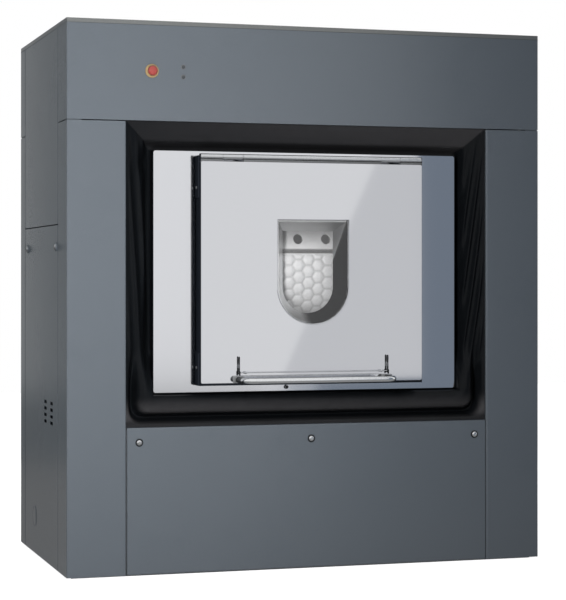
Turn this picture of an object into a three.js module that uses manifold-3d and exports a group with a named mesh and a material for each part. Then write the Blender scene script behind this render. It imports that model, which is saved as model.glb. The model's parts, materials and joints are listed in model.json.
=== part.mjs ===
// A barrier washer, which stands in the wall between a loading room and an unloading room.
// Millimetres, +Z up. The origin is on the floor under the middle of the casing.
// The unloading side faces -Y and the loading side faces +Y.
// Left and right are as seen from the unloading side.

import * as THREE from "three";
import { mergeVertices } from "three/addons/utils/BufferGeometryUtils.js";
import Module from "manifold-3d";

const wasm = await Module();
wasm.setup();

// Driving dimensions of the casing
const casing = {
  depth: 800,
  sheet: 2,
  bend: 4, // outer radius of a fold
  seam: 3, // gap between neighbouring sheets
  floorGap: 6, // from the floor to the lower edge of the sheets
  sideSplit: 1015, // height of the joint between the upper and the lower side panel
  sideFlange: 18,
};
const opening = { width: 1115, height: 883 };
const column = { width: 172.5, frontReturn: 135, rearReturn: 83, lip: 28 };
const fascia = { height: 276, lip: 36 };
const service = { height: 429 };
const lid = { rim: 12 };
const vent = {
  columns: 2,
  rows: 4,
  width: 46,
  height: 10,
  cornerRadius: 4,
  pitchAcross: 103,
  pitchUp: 19.5,
  y: -105.5,
  z: 458,
};

// Clearances and cutting
const fit = 0.3; // between pieces that seat on each other
const running = 0.6; // between a turning or sliding piece and its bore
const overrun = 6; // how far a cutting body passes the face that it cuts

// Frames
const base = { height: 80, beam: 60, crossBeam: 120, wall: 5 };
const post = { width: 40, wall: 4, rail: 40, clear: 0.8 }; // clear of the bends in the sheets

// Bellows between the casing and the tub
const bellows = { sideGap: 89, topGap: 83, bottomGap: 97, wall: 5, seatDepth: 8, cornerRadius: 14 };

// Tub, its two face panels and what carries them
const tub = {
  wall: 4,
  panelRecess: 38, // of the face behind the casing
  neck: 29,
  endGap: 29,
  hoop: 7,
  hoopWidth: 26,
  cornerRadius: 60,
};
const face = { sheet: 3, flange: 30, cornerRadius: 6, margin: 45 };
const keeper = { x: -66, drop: 17, radius: 5, length: 8 };
const bearing = { flange: 130, flangeThickness: 14, hub: 72, length: 48, ribs: 6, rib: 10 };
const cradle = {
  drop: 144.5, // of the rails below the tub
  rail: 40,
  railWidth: 70,
  wall: 5,
  inset: 88, // of a rail's middle from the side of the tub
  overhang: 50, // beyond a spring's middle
  saddle: 12,
  saddleInset: 109.5, // from the end of the tub
  wrap: 60,
};
const spring = { inset: 9.5, wire: 14, coil: 46, turns: 5, steps: 8, sides: 5 };
const damper = { tube: 26, bore: 20, clear: 0.9, rod: 12, stroke: 24, rodShows: 110 };
const motor = {
  radius: 88,
  length: 280,
  setback: 276.8, // of its middle behind the pulleys
  room: 8,
  foot: 16,
  fins: 14,
  finHeight: 9,
  shaft: 16,
};
const drainValve = { x: -120, width: 120, depth: 110, height: 70, spigot: 30, actuator: 32 };

// Drum with its two flaps
const drum = { gap: 22, endGap: 20, wall: 3, endWall: 5, hub: 120, hubLength: 16, shaft: 32, seat: 2 };
const wayInDegrees = 50.4; // from the drum's axis line up to the edge of the way in
const lifter = { count: 3, height: 52, foot: 96, crestWidth: 34, wall: 2.5, drain: 8, drainMargin: 115.5 };
const flap = {
  endMargin: 115.5, // from the end of the drum
  seamHeight: 62, // of the joint between the flaps, above the drum's axis
  gap: 4,
  edgeGap: 3,
  sheet: 3,
  joggle: 6, // how far the free edges are set in
  joggleWidth: 6,
  barrel: 5,
  pin: 3,
  pinLength: 12,
  lug: 16, // along the pin
  lugHalf: 8,
  lugDepth: 7,
  band: 4, // extra thickness of the latch band
  bandStart: 10,
  bandWidth: 46,
  hole: 30,
  holePitch: 88,
  holeRowX: -7,
  holeHeight: 98, // above the drum's axis
};

// Drive
const pulley = {
  gap: 7,
  width: 34,
  drumRadius: 200,
  motorRadius: 42,
  rim: 16,
  web: 8,
  spokes: 5,
  spokeWidth: 34,
};
const belt = { thickness: 5, clearance: 0.8, width: 26 };

// Doors
const door = {
  sideMargin: 127.5,
  topMargin: 32,
  bottomMargin: 28,
  proud: 20, // in front of the casing
  gap: 4, // behind the door
  wall: 2,
  cornerRadius: 4,
  drain: 4,
  drains: 4,
};
const windowPane = {
  width: 220,
  topMargin: 167,
  bottomMargin: 170,
  inset: 31, // of the inner end of the funnel
  ledge: 5,
  sunk: 2,
  thickness: 6,
  wall: 2,
};
const seal = { width: 24, overlap: 12 };
const hinge = {
  rod: 6,
  bore: 6.8,
  barrel: 8.5,
  drop: 0.5, // from the door's front to the barrel
  lift: 14, // of the axis above the door
  knuckle: 62,
  knuckleInset: 97, // from the side of the door to the middle of a knuckle
  knuckleGap: 1,
  leaf: 3,
  arm: 12,
};
const grip = {
  inset: 112, // from the side of the door to the arm's middle
  standoff: 80,
  height: 9,
  bar: 9,
  bend: 26,
  plate: 5,
  plateWidth: 34,
  plateHeight: 20,
};
const latch = {
  height: 30,
  out: 10,
  shaft: 4,
  barrel: 7,
  lever: 46,
  thickness: 9,
  tip: 5,
  ear: 8,
  earInset: 20, // from a lever to its ear
  bore: 4.7,
};

// Controls
// Each stands up from the top of the opening and in from the side of the casing.
const estop = {
  fromSide: 248,
  up: 143,
  collar: 20,
  collarThickness: 4,
  body: 11,
  bodyLength: 30,
  head: 14.5,
  headHeight: 11,
  stem: 7,
  travel: 5,
};
const lamp = {
  fromSide: 341,
  up: 157,
  pitch: 29,
  lens: 6,
  bevel: 2,
  proud: 2.5,
  body: 4.5,
  carrier: 6,
  carrierWidth: 20,
};
const controls = { fromSide: 480, up: 142, width: 520, height: 150, proud: 6, cornerRadius: 12, wall: 3 };
const display = { margin: 30, farMargin: 270, edgeMargin: 14, proud: 1.5, depth: 4 };
const selector = { inset: 165, radius: 30, height: 22, grip: 5, gripDepth: 3, stem: 6, socket: 6.8 };
const startButton = { inset: 55, radius: 17, height: 9, bevel: 2.5, stem: 6, travel: 4, socket: 18 };

// How many straight steps make up a full circle
const facets = {
  tub: 36,
  drum: 36,
  shaft: 24,
  pulley: 28,
  control: 20,
  small: 16,
  tiny: 10,
  groove: 6,
  bend: 2,
  corner: 3,
  window: 16,
};

// Places worked out from the driving dimensions
const halfWidth = opening.width / 2 + column.width;
const halfDepth = casing.depth / 2;
const openingBottom = service.height;
const openingTop = openingBottom + opening.height;
const fasciaTop = openingTop + fascia.height;
const height = fasciaTop + lid.rim;

const panel = {
  halfWidth: opening.width / 2 - bellows.sideGap,
  bottom: openingBottom + bellows.bottomGap,
  top: openingTop - bellows.topGap,
  front: halfDepth - tub.panelRecess,
};
const axisZ = (panel.bottom + panel.top) / 2;
const doorway = {
  halfWidth: panel.halfWidth - door.sideMargin,
  bottom: panel.bottom + door.bottomMargin,
  top: panel.top - door.topMargin,
  front: halfDepth + door.proud,
  back: panel.front + door.gap,
};
const mouth = {
  halfWidth: doorway.halfWidth - face.margin,
  bottom: doorway.bottom + face.margin,
  top: doorway.top - face.margin,
};
const tubRadius = panel.front - tub.neck;
const tubInner = tubRadius - tub.wall;
const tubHalfLength = panel.halfWidth - tub.endGap;
const bearingEnd = tubHalfLength + fit + bearing.length;
const pulleyX = bearingEnd + pulley.gap + pulley.width / 2;
const drumRadius = tubInner - drum.gap;
const drumHalfLength = tubHalfLength - tub.wall - drum.endGap;
const flapHalfLength = drumHalfLength - flap.endMargin;
const tubBottom = Math.min(axisZ - tubRadius, mouth.bottom - tub.wall); // of the shell or its necks
const cradleLevel = tubBottom - cradle.drop;
const railY = tubRadius - cradle.inset;
const saddleX = tubHalfLength - cradle.saddleInset;
const springX = tubHalfLength - spring.inset;
const motorX = pulleyX - motor.setback;
const knuckleX = doorway.halfWidth - hinge.knuckleInset;
const gripX = doorway.halfWidth - grip.inset;
const estopPlace = [estop.fromSide - halfWidth, openingTop + estop.up];
const lampPlace = [lamp.fromSide - halfWidth, openingTop + lamp.up];
const controlsPlace = [halfWidth - controls.fromSide, openingTop + controls.up];
const selectorPlace = [controlsPlace[0] + controls.width / 2 - selector.inset, controlsPlace[1]];
const startPlace = [controlsPlace[0] + controls.width / 2 - startButton.inset, controlsPlace[1]];
const displayEnds = [
  controlsPlace[0] - controls.width / 2 + display.margin,
  controlsPlace[0] + controls.width / 2 - display.farMargin,
];
const displayLevels = [
  controlsPlace[1] - controls.height / 2 + display.edgeMargin,
  controlsPlace[1] + controls.height / 2 - display.edgeMargin,
];

// Materials, with the colours and finishes of the real surfaces
const finish = (color, roughness, metalness, more = {}) =>
  new THREE.MeshStandardMaterial({ color, roughness, metalness, flatShading: true, ...more });
const paint = finish(0x6c767f, 0.42, 0.35);
const stainless = finish(0xc9ccd0, 0.3, 0.85);
const drumSteel = finish(0xd4d6d6, 0.22, 0.9);
const rubber = finish(0x121315, 0.32, 0);
const frameSteel = finish(0x4a5157, 0.5, 0.6);
const castIron = finish(0x3d4348, 0.6, 0.5);
const springSteel = finish(0x2c3136, 0.4, 0.7);
const motorPaint = finish(0x30506c, 0.5, 0.3);
const glass = finish(0xb9c0c6, 0.06, 0, { transparent: true, opacity: 0.35 });
const black = finish(0x15171a, 0.4, 0.1);
const red = finish(0xc8452c, 0.4, 0);
const yellow = finish(0xe0b23c, 0.45, 0);
const lens = finish(0x40464c, 0.2, 0);
const screen = finish(0x0d1014, 0.08, 0);
const button = finish(0x4f9a55, 0.35, 0);

// Solids and how they are joined

// The solid that a closed geometry bounds, whichever way its faces point.
function solid(geometry) {
  const loose = geometry.index ? geometry.toNonIndexed() : geometry;
  const bare = new THREE.BufferGeometry().setAttribute("position", loose.getAttribute("position"));
  const merged = mergeVertices(bare, 1e-4);
  const vertProperties = new Float32Array(merged.attributes.position.array);
  const triVerts = new Uint32Array(merged.index.array);
  if (signedVolume(vertProperties, triVerts) < 0) triVerts.reverse();
  return new wasm.Manifold(new wasm.Mesh({ numProp: 3, vertProperties, triVerts }));
}

// Six times the volume inside a triangle mesh, negative where its faces point inwards.
function signedVolume(points, triangles) {
  const corner = (i) => new THREE.Vector3().fromArray(points, 3 * triangles[i]);
  let sum = 0;
  for (let i = 0; i < triangles.length; i += 3) sum += corner(i).dot(corner(i + 1).cross(corner(i + 2)));
  return sum;
}

function join(...solids) {
  return solids.reduce((whole, more) => whole.add(more));
}

function cut(body, ...tools) {
  return tools.reduce((whole, tool) => whole.subtract(tool), body);
}

// A named mesh from a solid.
function piece(name, made, material) {
  const { vertProperties, triVerts } = made.getMesh();
  const geometry = new THREE.BufferGeometry();
  geometry.setAttribute("position", new THREE.BufferAttribute(new Float32Array(vertProperties), 3));
  geometry.setIndex(new THREE.BufferAttribute(new Uint32Array(triVerts), 1));
  geometry.computeVertexNormals();
  const mesh = new THREE.Mesh(geometry, material);
  mesh.name = name;
  return mesh;
}

// A block between two opposite corners.
function block([x0, x1], [y0, y1], [z0, z1]) {
  const box = new THREE.BoxGeometry(x1 - x0, y1 - y0, z1 - z0);
  return solid(box.translate((x0 + x1) / 2, (y0 + y1) / 2, (z0 + z1) / 2));
}

const shapeOf = (outline) => new THREE.Shape(outline.map(([u, v]) => new THREE.Vector2(u, v)));

// Turns a geometry drawn along its own Z so that it runs along X, Y or Z.
// Its first two coordinates then lie on (y, z), (x, z) or (x, y).
const turnTo = {
  x: new THREE.Matrix4().makeBasis(
    new THREE.Vector3(0, 1, 0),
    new THREE.Vector3(0, 0, 1),
    new THREE.Vector3(1, 0, 0),
  ),
  y: new THREE.Matrix4().makeBasis(
    new THREE.Vector3(1, 0, 0),
    new THREE.Vector3(0, 0, 1),
    new THREE.Vector3(0, 1, 0),
  ),
  z: new THREE.Matrix4(),
};

// An outline carried along an axis from one place to another.
function prism(axis, outline, [from, to]) {
  const made = new THREE.ExtrudeGeometry(shapeOf(outline), { depth: to - from, bevelEnabled: false });
  return solid(made.translate(0, 0, from).applyMatrix4(turnTo[axis]));
}

// A closed profile of [radius, place] turned about an axis through a point of the plane across it.
function turned(axis, profile, segments, [u, v] = [0, 0]) {
  const lathe = new THREE.LatheGeometry(
    profile.map(([r, along]) => new THREE.Vector2(r, along)),
    segments,
  );
  const upright = lathe.rotateX(Math.PI / 2);
  return solid(upright.translate(u, v, 0).applyMatrix4(turnTo[axis]));
}

// A plain cylinder along an axis.
function rod(axis, radius, [from, to], place, segments = facets.small) {
  return turned(axis, [[0, from], [radius, from], [radius, to], [0, to]], segments, place);
}

// A pipe along an axis.
function pipe(axis, radius, bore, [from, to], place, segments = facets.small) {
  const long = [from - overrun, to + overrun];
  return cut(rod(axis, radius, [from, to], place, segments), rod(axis, bore, long, place, segments));
}

// Points on an arc, both ends included. Angles in radians.
function arc([u, v], radius, from, to, steps) {
  return Array.from({ length: steps + 1 }, (_, i) => {
    const angle = from + ((to - from) * i) / steps;
    return [u + radius * Math.cos(angle), v + radius * Math.sin(angle)];
  });
}

// A rectangle with round corners.
function roundedRectangle([u0, u1], [v0, v1], radius, steps = facets.corner) {
  const quarter = Math.PI / 2;
  return [
    ...arc([u1 - radius, v0 + radius], radius, -quarter, 0, steps),
    ...arc([u1 - radius, v1 - radius], radius, 0, quarter, steps),
    ...arc([u0 + radius, v1 - radius], radius, quarter, 2 * quarter, steps),
    ...arc([u0 + radius, v0 + radius], radius, 2 * quarter, 3 * quarter, steps),
  ];
}

// The outline of a sheet folded along a path. The path is one face, and the sheet lies to its left.
function folded(path, sheet = casing.sheet, bend = casing.bend) {
  const near = [];
  const far = [];
  const unit = ([a, b], [c, d]) => new THREE.Vector2(c - a, d - b).normalize();
  path.forEach(([u, v], i) => {
    const before = unit(path[Math.max(i - 1, 0)], path[Math.max(i, 1)]);
    const left = [-before.y, before.x];
    if (i === 0 || i === path.length - 1) {
      near.push([u, v]);
      far.push([u + left[0] * sheet, v + left[1] * sheet]);
      return;
    }
    const after = unit(path[i], path[i + 1]);
    const side = Math.sign(before.x * after.y - before.y * after.x);
    const nearRadius = side > 0 ? bend : bend - sheet;
    const farRadius = side > 0 ? bend - sheet : bend;
    const centre = [
      u - before.x * nearRadius + side * left[0] * nearRadius,
      v - before.y * nearRadius + side * left[1] * nearRadius,
    ];
    const start = Math.atan2(-side * left[1], -side * left[0]);
    const sweep = side * Math.acos(before.dot(after));
    near.push(...arc(centre, nearRadius, start, start + sweep, facets.bend));
    far.push(...arc(centre, farRadius, start, start + sweep, facets.bend));
  });
  return [...near, ...far.reverse()];
}

const mirrored = (path) => path.map(([u, v]) => [-u, v]).reverse();

// A solid through a row of closed sections, each a list of [x, y, z].
// It closes on itself or has flat ends.
function skinned(sections, closed) {
  const count = sections[0].length;
  const positions = new Float32Array(sections.flat(2));
  const index = [];
  const rows = closed ? sections.length : sections.length - 1;
  for (let i = 0; i < rows; i++) {
    const a = i * count;
    const b = ((i + 1) % sections.length) * count;
    for (let j = 0; j < count; j++) {
      const k = (j + 1) % count;
      index.push(a + j, a + k, b + j, a + k, b + k, b + j);
    }
  }
  if (!closed) {
    const last = (sections.length - 1) * count;
    for (const [p, q, r] of flatEnd(sections[0])) index.push(r, q, p);
    for (const [p, q, r] of flatEnd(sections[0])) index.push(last + p, last + q, last + r);
  }
  const geometry = new THREE.BufferGeometry();
  geometry.setAttribute("position", new THREE.BufferAttribute(positions, 3));
  geometry.setIndex(index);
  return solid(geometry);
}

// The triangles that close a flat section, seen in the plane where it is widest.
function flatEnd(section) {
  const points = section.map((p) => new THREE.Vector3(...p));
  const centre = points.reduce((sum, p) => sum.add(p), new THREE.Vector3()).divideScalar(points.length);
  const across = points[0].clone().sub(centre).normalize();
  const normal = new THREE.Vector3();
  points.forEach((p, i) => {
    const next = points[(i + 1) % points.length].clone().sub(centre);
    normal.add(p.clone().sub(centre).cross(next));
  });
  const up = normal.normalize().clone().cross(across);
  const flat = points.map((p) => {
    const away = p.clone().sub(centre);
    return new THREE.Vector2(away.dot(across), away.dot(up));
  });
  return THREE.ShapeUtils.triangulateShape(flat, []);
}

// Casing

// A column of the casing, folded round the corner and back at the opening.
function columnPath(returnDepth) {
  return [
    [-halfWidth, -halfDepth + returnDepth],
    [-halfWidth, -halfDepth],
    [-opening.width / 2, -halfDepth],
    [-opening.width / 2, -halfDepth + column.lip],
  ];
}

function makeColumn(name, path) {
  return piece(name, prism("z", folded(path), [casing.floorGap, openingTop - casing.seam]), paint);
}

// The wide front above the opening, with a flange along its lower edge.
function makeFascia(name, sideReturn, holes) {
  const path = [
    [-halfWidth, -halfDepth + sideReturn],
    [-halfWidth, -halfDepth],
    [halfWidth, -halfDepth],
    [halfWidth, -halfDepth + sideReturn],
  ];
  const shell = prism("z", folded(path), [openingTop, fasciaTop - fit]);
  const inside = halfWidth - casing.sheet - post.clear - post.width - fit;
  const flange = block(
    [-inside, inside],
    [-halfDepth + casing.sheet / 2, -halfDepth + fascia.lip],
    [openingTop, openingTop + casing.sheet],
  );
  return piece(name, cut(join(shell, flange), ...holes), paint);
}

// A round hole through the fascia.
function fasciaHole(place, radius) {
  return rod("y", radius, [-halfDepth - overrun, -halfDepth + casing.sheet + overrun], place);
}

function makeServicePanel(name) {
  const bottom = casing.floorGap;
  const topEdge = openingBottom;
  const path = [
    [-halfDepth + column.lip, topEdge],
    [-halfDepth, topEdge],
    [-halfDepth, bottom],
    [-halfDepth + column.lip, bottom],
  ];
  const half = opening.width / 2 - casing.seam;
  return piece(name, prism("x", folded(path), [-half, half]), paint);
}

// A side panel between the columns. The lower one has a field of vent slots.
function makeSidePanel(name, side, [bottom, topEdge], vented) {
  const frontEdge = -halfDepth + column.frontReturn + casing.seam;
  const rearEdge = halfDepth - column.rearReturn - casing.seam;
  const path = [
    [-halfWidth + casing.sideFlange, rearEdge],
    [-halfWidth, rearEdge],
    [-halfWidth, frontEdge],
    [-halfWidth + casing.sideFlange, frontEdge],
  ];
  const sheet = prism("z", folded(side < 0 ? path : mirrored(path)), [bottom, topEdge]);
  if (!vented) return piece(name, sheet, paint);
  const slots = [];
  const through = [side * halfWidth - overrun, side * halfWidth + overrun];
  for (let i = 0; i < vent.columns; i++)
    for (let j = 0; j < vent.rows; j++) {
      const y = vent.y + (i - (vent.columns - 1) / 2) * vent.pitchAcross;
      const z = vent.z + (j - (vent.rows - 1) / 2) * vent.pitchUp;
      const ends = [y - vent.width / 2, y + vent.width / 2];
      const levels = [z - vent.height / 2, z + vent.height / 2];
      slots.push(prism("x", roundedRectangle(ends, levels, vent.cornerRadius, facets.bend), through));
    }
  return piece(name, cut(sheet, ...slots), paint);
}

// The lid, with its rim turned down all round.
function makeTopPanel() {
  const inner = casing.sheet;
  const outer = prism(
    "z",
    roundedRectangle([-halfWidth, halfWidth], [-halfDepth, halfDepth], casing.bend, facets.bend),
    [fasciaTop, height],
  );
  const hollow = block(
    [-halfWidth + inner, halfWidth - inner],
    [-halfDepth + inner, halfDepth - inner],
    [fasciaTop - overrun, height - inner],
  );
  return piece("top_panel", cut(outer, hollow), paint);
}

// Frames inside the casing

const baseHalfWidth = halfWidth - casing.sideFlange - fit;
const baseHalfDepth = halfDepth - column.lip - fit;

// The welded frame on the floor: a ring of channels that open inwards, and three cross beams
// of an I section under the springs and dampers.
function makeBaseFrame() {
  const w = base.wall;
  const web = [w, base.height - w];
  const ring = cut(
    block([-baseHalfWidth, baseHalfWidth], [-baseHalfDepth, baseHalfDepth], [0, base.height]),
    block(
      [-baseHalfWidth + base.beam, baseHalfWidth - base.beam],
      [-baseHalfDepth + base.beam, baseHalfDepth - base.beam],
      [-overrun, base.height + overrun],
    ),
    block([-baseHalfWidth + w, baseHalfWidth - w], [-baseHalfDepth + w, baseHalfDepth - w], web),
  );
  const beams = [-springX, 0, springX].map((x) => {
    const along = [-baseHalfDepth + w / 2, baseHalfDepth - w / 2];
    const half = base.crossBeam / 2;
    return cut(
      block([x - half, x + half], along, [0, base.height]),
      block([x - half - overrun, x - w / 2], [along[0] - overrun, along[1] + overrun], web),
      block([x + w / 2, x + half + overrun], [along[0] - overrun, along[1] + overrun], web),
    );
  });
  return piece("base_frame", join(ring, ...beams), frameSteel);
}

// Four angle posts and a ring of angles under the lid.
function makeCabinetFrame() {
  const x1 = halfWidth - casing.sheet - post.clear;
  const y1 = halfDepth - casing.sheet - post.clear;
  const railX = baseHalfWidth;
  const top = height - casing.sheet - fit;
  const w = post.wall;
  const angle = [
    [0, 0],
    [post.width, 0],
    [post.width, w],
    [w, w],
    [w, post.width],
    [0, post.width],
  ];
  const posts = [-1, 1].flatMap((sx) =>
    [-1, 1].map((sy) => {
      const outline = angle.map(([u, v]) => [sx * (x1 - u), sy * (y1 - v)]);
      return prism("z", outline, [base.height + fit, top]);
    }),
  );
  const within = (x, y, level) => block([-railX + x, railX - x], [-y1 + y, y1 - y], level);
  const ring = cut(
    within(0, 0, [top - post.rail, top]),
    within(post.width, post.width, [top - post.rail - overrun, top + overrun]),
    within(w, w, [top - post.rail - overrun, top - w]),
  );
  const ties = [-1, 1].map((sy) => {
    const span = [sy * y1, sy * (y1 - w)].sort((a, b) => a - b);
    return block([-x1, x1], span, [top - post.rail, top]);
  });
  return piece("cabinet_frame", join(ring, ...ties, ...posts), frameSteel);
}

// Bellows

// Shares of the way from the casing to the tub, and shares of the depth of the fold.
const foldShares = [[0, 0], [0.16, 0.05], [0.5, 0.3], [0.74, 0.78], [0.86, 1], [1, 0.5]];
const foldDepth = 2 * tub.panelRecess - bellows.seatDepth + bellows.wall;

// The rubber sheet round the tub's face. It slopes inwards and folds back to the tub's edge.
function makeBellows(name) {
  const clear = running;
  const outer = roundedRectangle(
    [-opening.width / 2 + clear, opening.width / 2 - clear],
    [openingBottom + clear, openingTop - clear],
    bellows.cornerRadius,
  );
  const inner = roundedRectangle(
    [-panel.halfWidth - clear, panel.halfWidth + clear],
    [panel.bottom - clear, panel.top + clear],
    face.cornerRadius + clear,
  );
  const frontY = -halfDepth + bellows.seatDepth;
  const sections = outer.map(([x, z], i) => {
    const [tubX, tubZ] = inner[i];
    const front = foldShares.map(([across, deep]) => [
      x + (tubX - x) * across,
      frontY + foldDepth * deep,
      z + (tubZ - z) * across,
    ]);
    const back = front.map(([px, py, pz]) => [px, py + bellows.wall, pz]).reverse();
    return [...front, ...back];
  });
  return piece(name, skinned(sections, true), rubber);
}

// Tub

// The outline of the way through the tub's face, widened all round.
function mouthOutline(more) {
  return roundedRectangle(
    [-mouth.halfWidth - more, mouth.halfWidth + more],
    [mouth.bottom - more, mouth.top + more],
    tub.cornerRadius + more,
  );
}

// The face of the tub: a tray with the mouth, the hinge knuckles and the keeper stud of the latch.
function makeTubPanel(name) {
  const { front, halfWidth: half, bottom, top } = panel;
  const back = -front + face.flange;
  const outline = (less) =>
    roundedRectangle([-half + less, half - less], [bottom + less, top - less], face.cornerRadius - less / 2);
  const tray = cut(
    prism("y", outline(0), [-front, back]),
    prism("y", outline(face.sheet), [-front + face.sheet, back + overrun]),
    prism("y", mouthOutline(0), [-front - overrun, back + overrun]),
  );
  const stud = rod(
    "y",
    keeper.radius,
    [-front - keeper.length, -front + face.sheet],
    [keeper.x, doorway.bottom - keeper.drop],
    facets.tiny,
  );
  const knuckles = [-knuckleX, knuckleX].map((x) => {
    const span = [x - hinge.knuckle / 2 + hinge.knuckleGap, x + hinge.knuckle / 2 - hinge.knuckleGap];
    const barrel = rod("x", hinge.barrel, span, hingeAxis, facets.small);
    const arm = block(
      span,
      [hingeAxis[0], -front + face.sheet],
      [hingeAxis[1] - hinge.arm / 2, hingeAxis[1] + hinge.arm / 2],
    );
    const bore = rod("x", hinge.bore, [span[0] - overrun, span[1] + overrun], hingeAxis, facets.small);
    return cut(join(barrel, arm), bore);
  });
  return piece(name, join(tray, stud, ...knuckles), stainless);
}

// The round tub with a neck to each face, its end plates and two hoops.
function makeTub() {
  const across = [0, axisZ];
  const end = tubHalfLength;
  const hoopFrom = saddleX + cradle.saddle;
  const raised = tubRadius + tub.hoop;
  const profile = [
    [0, -end],
    [tubRadius, -end],
    [tubRadius, -hoopFrom - tub.hoopWidth],
    [raised, -hoopFrom - tub.hoopWidth],
    [raised, -hoopFrom],
    [tubRadius, -hoopFrom],
    [tubRadius, hoopFrom],
    [raised, hoopFrom],
    [raised, hoopFrom + tub.hoopWidth],
    [tubRadius, hoopFrom + tub.hoopWidth],
    [tubRadius, end],
    [0, end],
  ];
  const neckEnd = panel.front - face.sheet - fit;
  const neck = prism("y", mouthOutline(tub.wall), [-neckEnd, neckEnd]);
  const shell = join(turned("x", profile, facets.tub, across), neck);
  const inside = [-end + tub.wall, end - tub.wall];
  const through = [-panel.front - overrun, panel.front + overrun];
  const hollow = join(
    rod("x", tubInner, inside, across, facets.tub),
    prism("y", mouthOutline(0), through),
  );
  const shaftBore = rod("x", drum.shaft + running, [-end - overrun, end + overrun], across, facets.shaft);
  const outlet = rod(
    "z",
    drainValve.spigot - tub.wall,
    [tubBottom - overrun, axisZ - tubInner / 2],
    [drainValve.x, 0],
    facets.small,
  );
  return piece("outer_tub", cut(shell, hollow, shaftBore, outlet), stainless);
}

// The bearing housing on an end of the tub: a flange, a hub and ribs between them.
function makeBearing(name, side) {
  const start = tubHalfLength + fit;
  const flangeEnd = start + bearing.flangeThickness;
  const end = start + bearing.length;
  const profile = [
    [0, start],
    [bearing.flange, start],
    [bearing.flange, flangeEnd],
    [bearing.hub, flangeEnd],
    [bearing.hub, end],
    [0, end],
  ];
  const housing = turned("x", profile.map(([r, x]) => [r, side * x]), facets.small, [0, axisZ]);
  const ribs = Array.from({ length: bearing.ribs }, (_, i) => {
    const angle = (2 * Math.PI * i) / bearing.ribs;
    const outline = [
      [side * (flangeEnd - overrun), bearing.hub - overrun],
      [side * (flangeEnd - overrun), bearing.flange - bearing.rib],
      [side * flangeEnd, bearing.flange - bearing.rib],
      [side * (end - bearing.rib), bearing.hub],
      [side * (end - bearing.rib), bearing.hub - overrun],
    ];
    return turnedRib(outline, bearing.rib, angle);
  });
  const span = [start - overrun, end + overrun].map((x) => side * x).sort((a, b) => a - b);
  const bore = rod("x", drum.shaft + running, span, [0, axisZ], facets.shaft);
  return piece(name, cut(join(housing, ...ribs), bore), castIron);
}

// A flat rib drawn on (x, radius), of a thickness, turned about the drum's axis.
function turnedRib(outline, thickness, angle) {
  const made = new THREE.ExtrudeGeometry(shapeOf(outline), { depth: thickness, bevelEnabled: false });
  made.translate(0, 0, -thickness / 2).rotateX(angle).translate(0, 0, axisZ);
  return solid(made);
}

// The cradle under the tub: two channel rails on the springs, and two saddles that the tub lies in.
function makeCradle() {
  const half = springX + cradle.overhang;
  const level = [cradleLevel, cradleLevel + cradle.rail];
  const rails = [-railY, railY].map((y) => {
    const side = cradle.railWidth / 2;
    const inner = side - cradle.wall;
    const trough = [level[0] + cradle.wall, level[1] + overrun];
    return cut(
      block([-half, half], [y - side, y + side], level),
      block([-half - overrun, half + overrun], [y - inner, y + inner], trough),
    );
  });
  const reach = railY + cradle.railWidth / 2;
  const saddleTop = tubBottom + cradle.wrap;
  const saddles = [-saddleX, saddleX].map((x) =>
    block([x - cradle.saddle / 2, x + cradle.saddle / 2], [-reach, reach], [cradleLevel, saddleTop]),
  );
  const seat = rod("x", tubRadius + fit, [-half - overrun, half + overrun], [0, axisZ], facets.tub);
  const bay = motor.radius + motor.finHeight + motor.room;
  const motorBay = block([0, half + overrun], [-bay, bay], [cradleLevel - overrun, motorZ + bay]);
  const shelves = motorFeet.map((x) =>
    block([x, x + motorShield], [-reach, reach], [cradleLevel, cradleLevel + cradle.saddle]),
  );
  return piece("tub_cradle", cut(join(...rails, ...saddles, ...shelves), seat, motorBay), frameSteel);
}

// A coil spring between the base frame and the cradle, with flat ends.
function makeSpring(name, x, y) {
  const bottom = base.height + fit + spring.wire / 2;
  const top = cradleLevel - fit - spring.wire / 2;
  const total = spring.turns * spring.steps;
  const sections = Array.from({ length: total + 1 }, (_, i) => {
    const angle = (2 * Math.PI * i) / spring.steps;
    const climb = THREE.MathUtils.clamp((i - spring.steps / 2) / (total - spring.steps), 0, 1);
    const z = bottom + (top - bottom) * climb;
    return arc([0, 0], spring.wire / 2, 0, 2 * Math.PI, spring.sides).slice(1).map(([out, up]) => [
      x + (spring.coil + out) * Math.cos(angle),
      y + (spring.coil + out) * Math.sin(angle),
      z + up,
    ]);
  });
  return piece(name, skinned(sections, false), springSteel);
}

function makeDamperTube(name, y) {
  const bottom = base.height + fit;
  const top = cradleLevel - damper.rodShows;
  const shell = rod("z", damper.tube, [bottom, top], [0, y]);
  const bore = rod("z", damper.bore, [bottom + damper.tube / 2, top + overrun], [0, y]);
  return piece(name, cut(shell, bore), black);
}

function makeDamperRod(name, y) {
  const bottom = base.height + damper.tube / 2 + damper.stroke;
  const head = damper.bore - damper.clear;
  const profile = [
    [0, bottom],
    [head, bottom],
    [head, bottom + damper.rod],
    [damper.rod, bottom + damper.rod],
    [damper.rod, cradleLevel - fit],
    [0, cradleLevel - fit],
  ];
  return piece(name, turned("z", profile, facets.small, [0, y]), stainless);
}

// Drive

const motorZ = cradleLevel + cradle.saddle + fit + motor.foot / 2;

const motorEnds = [motorX - motor.length / 2, motorX + motor.length / 2];
const motorShield = motor.length / 8;
const motorFeet = [motorEnds[0] + motorShield, motorEnds[1] - 3 * motorShield];

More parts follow.
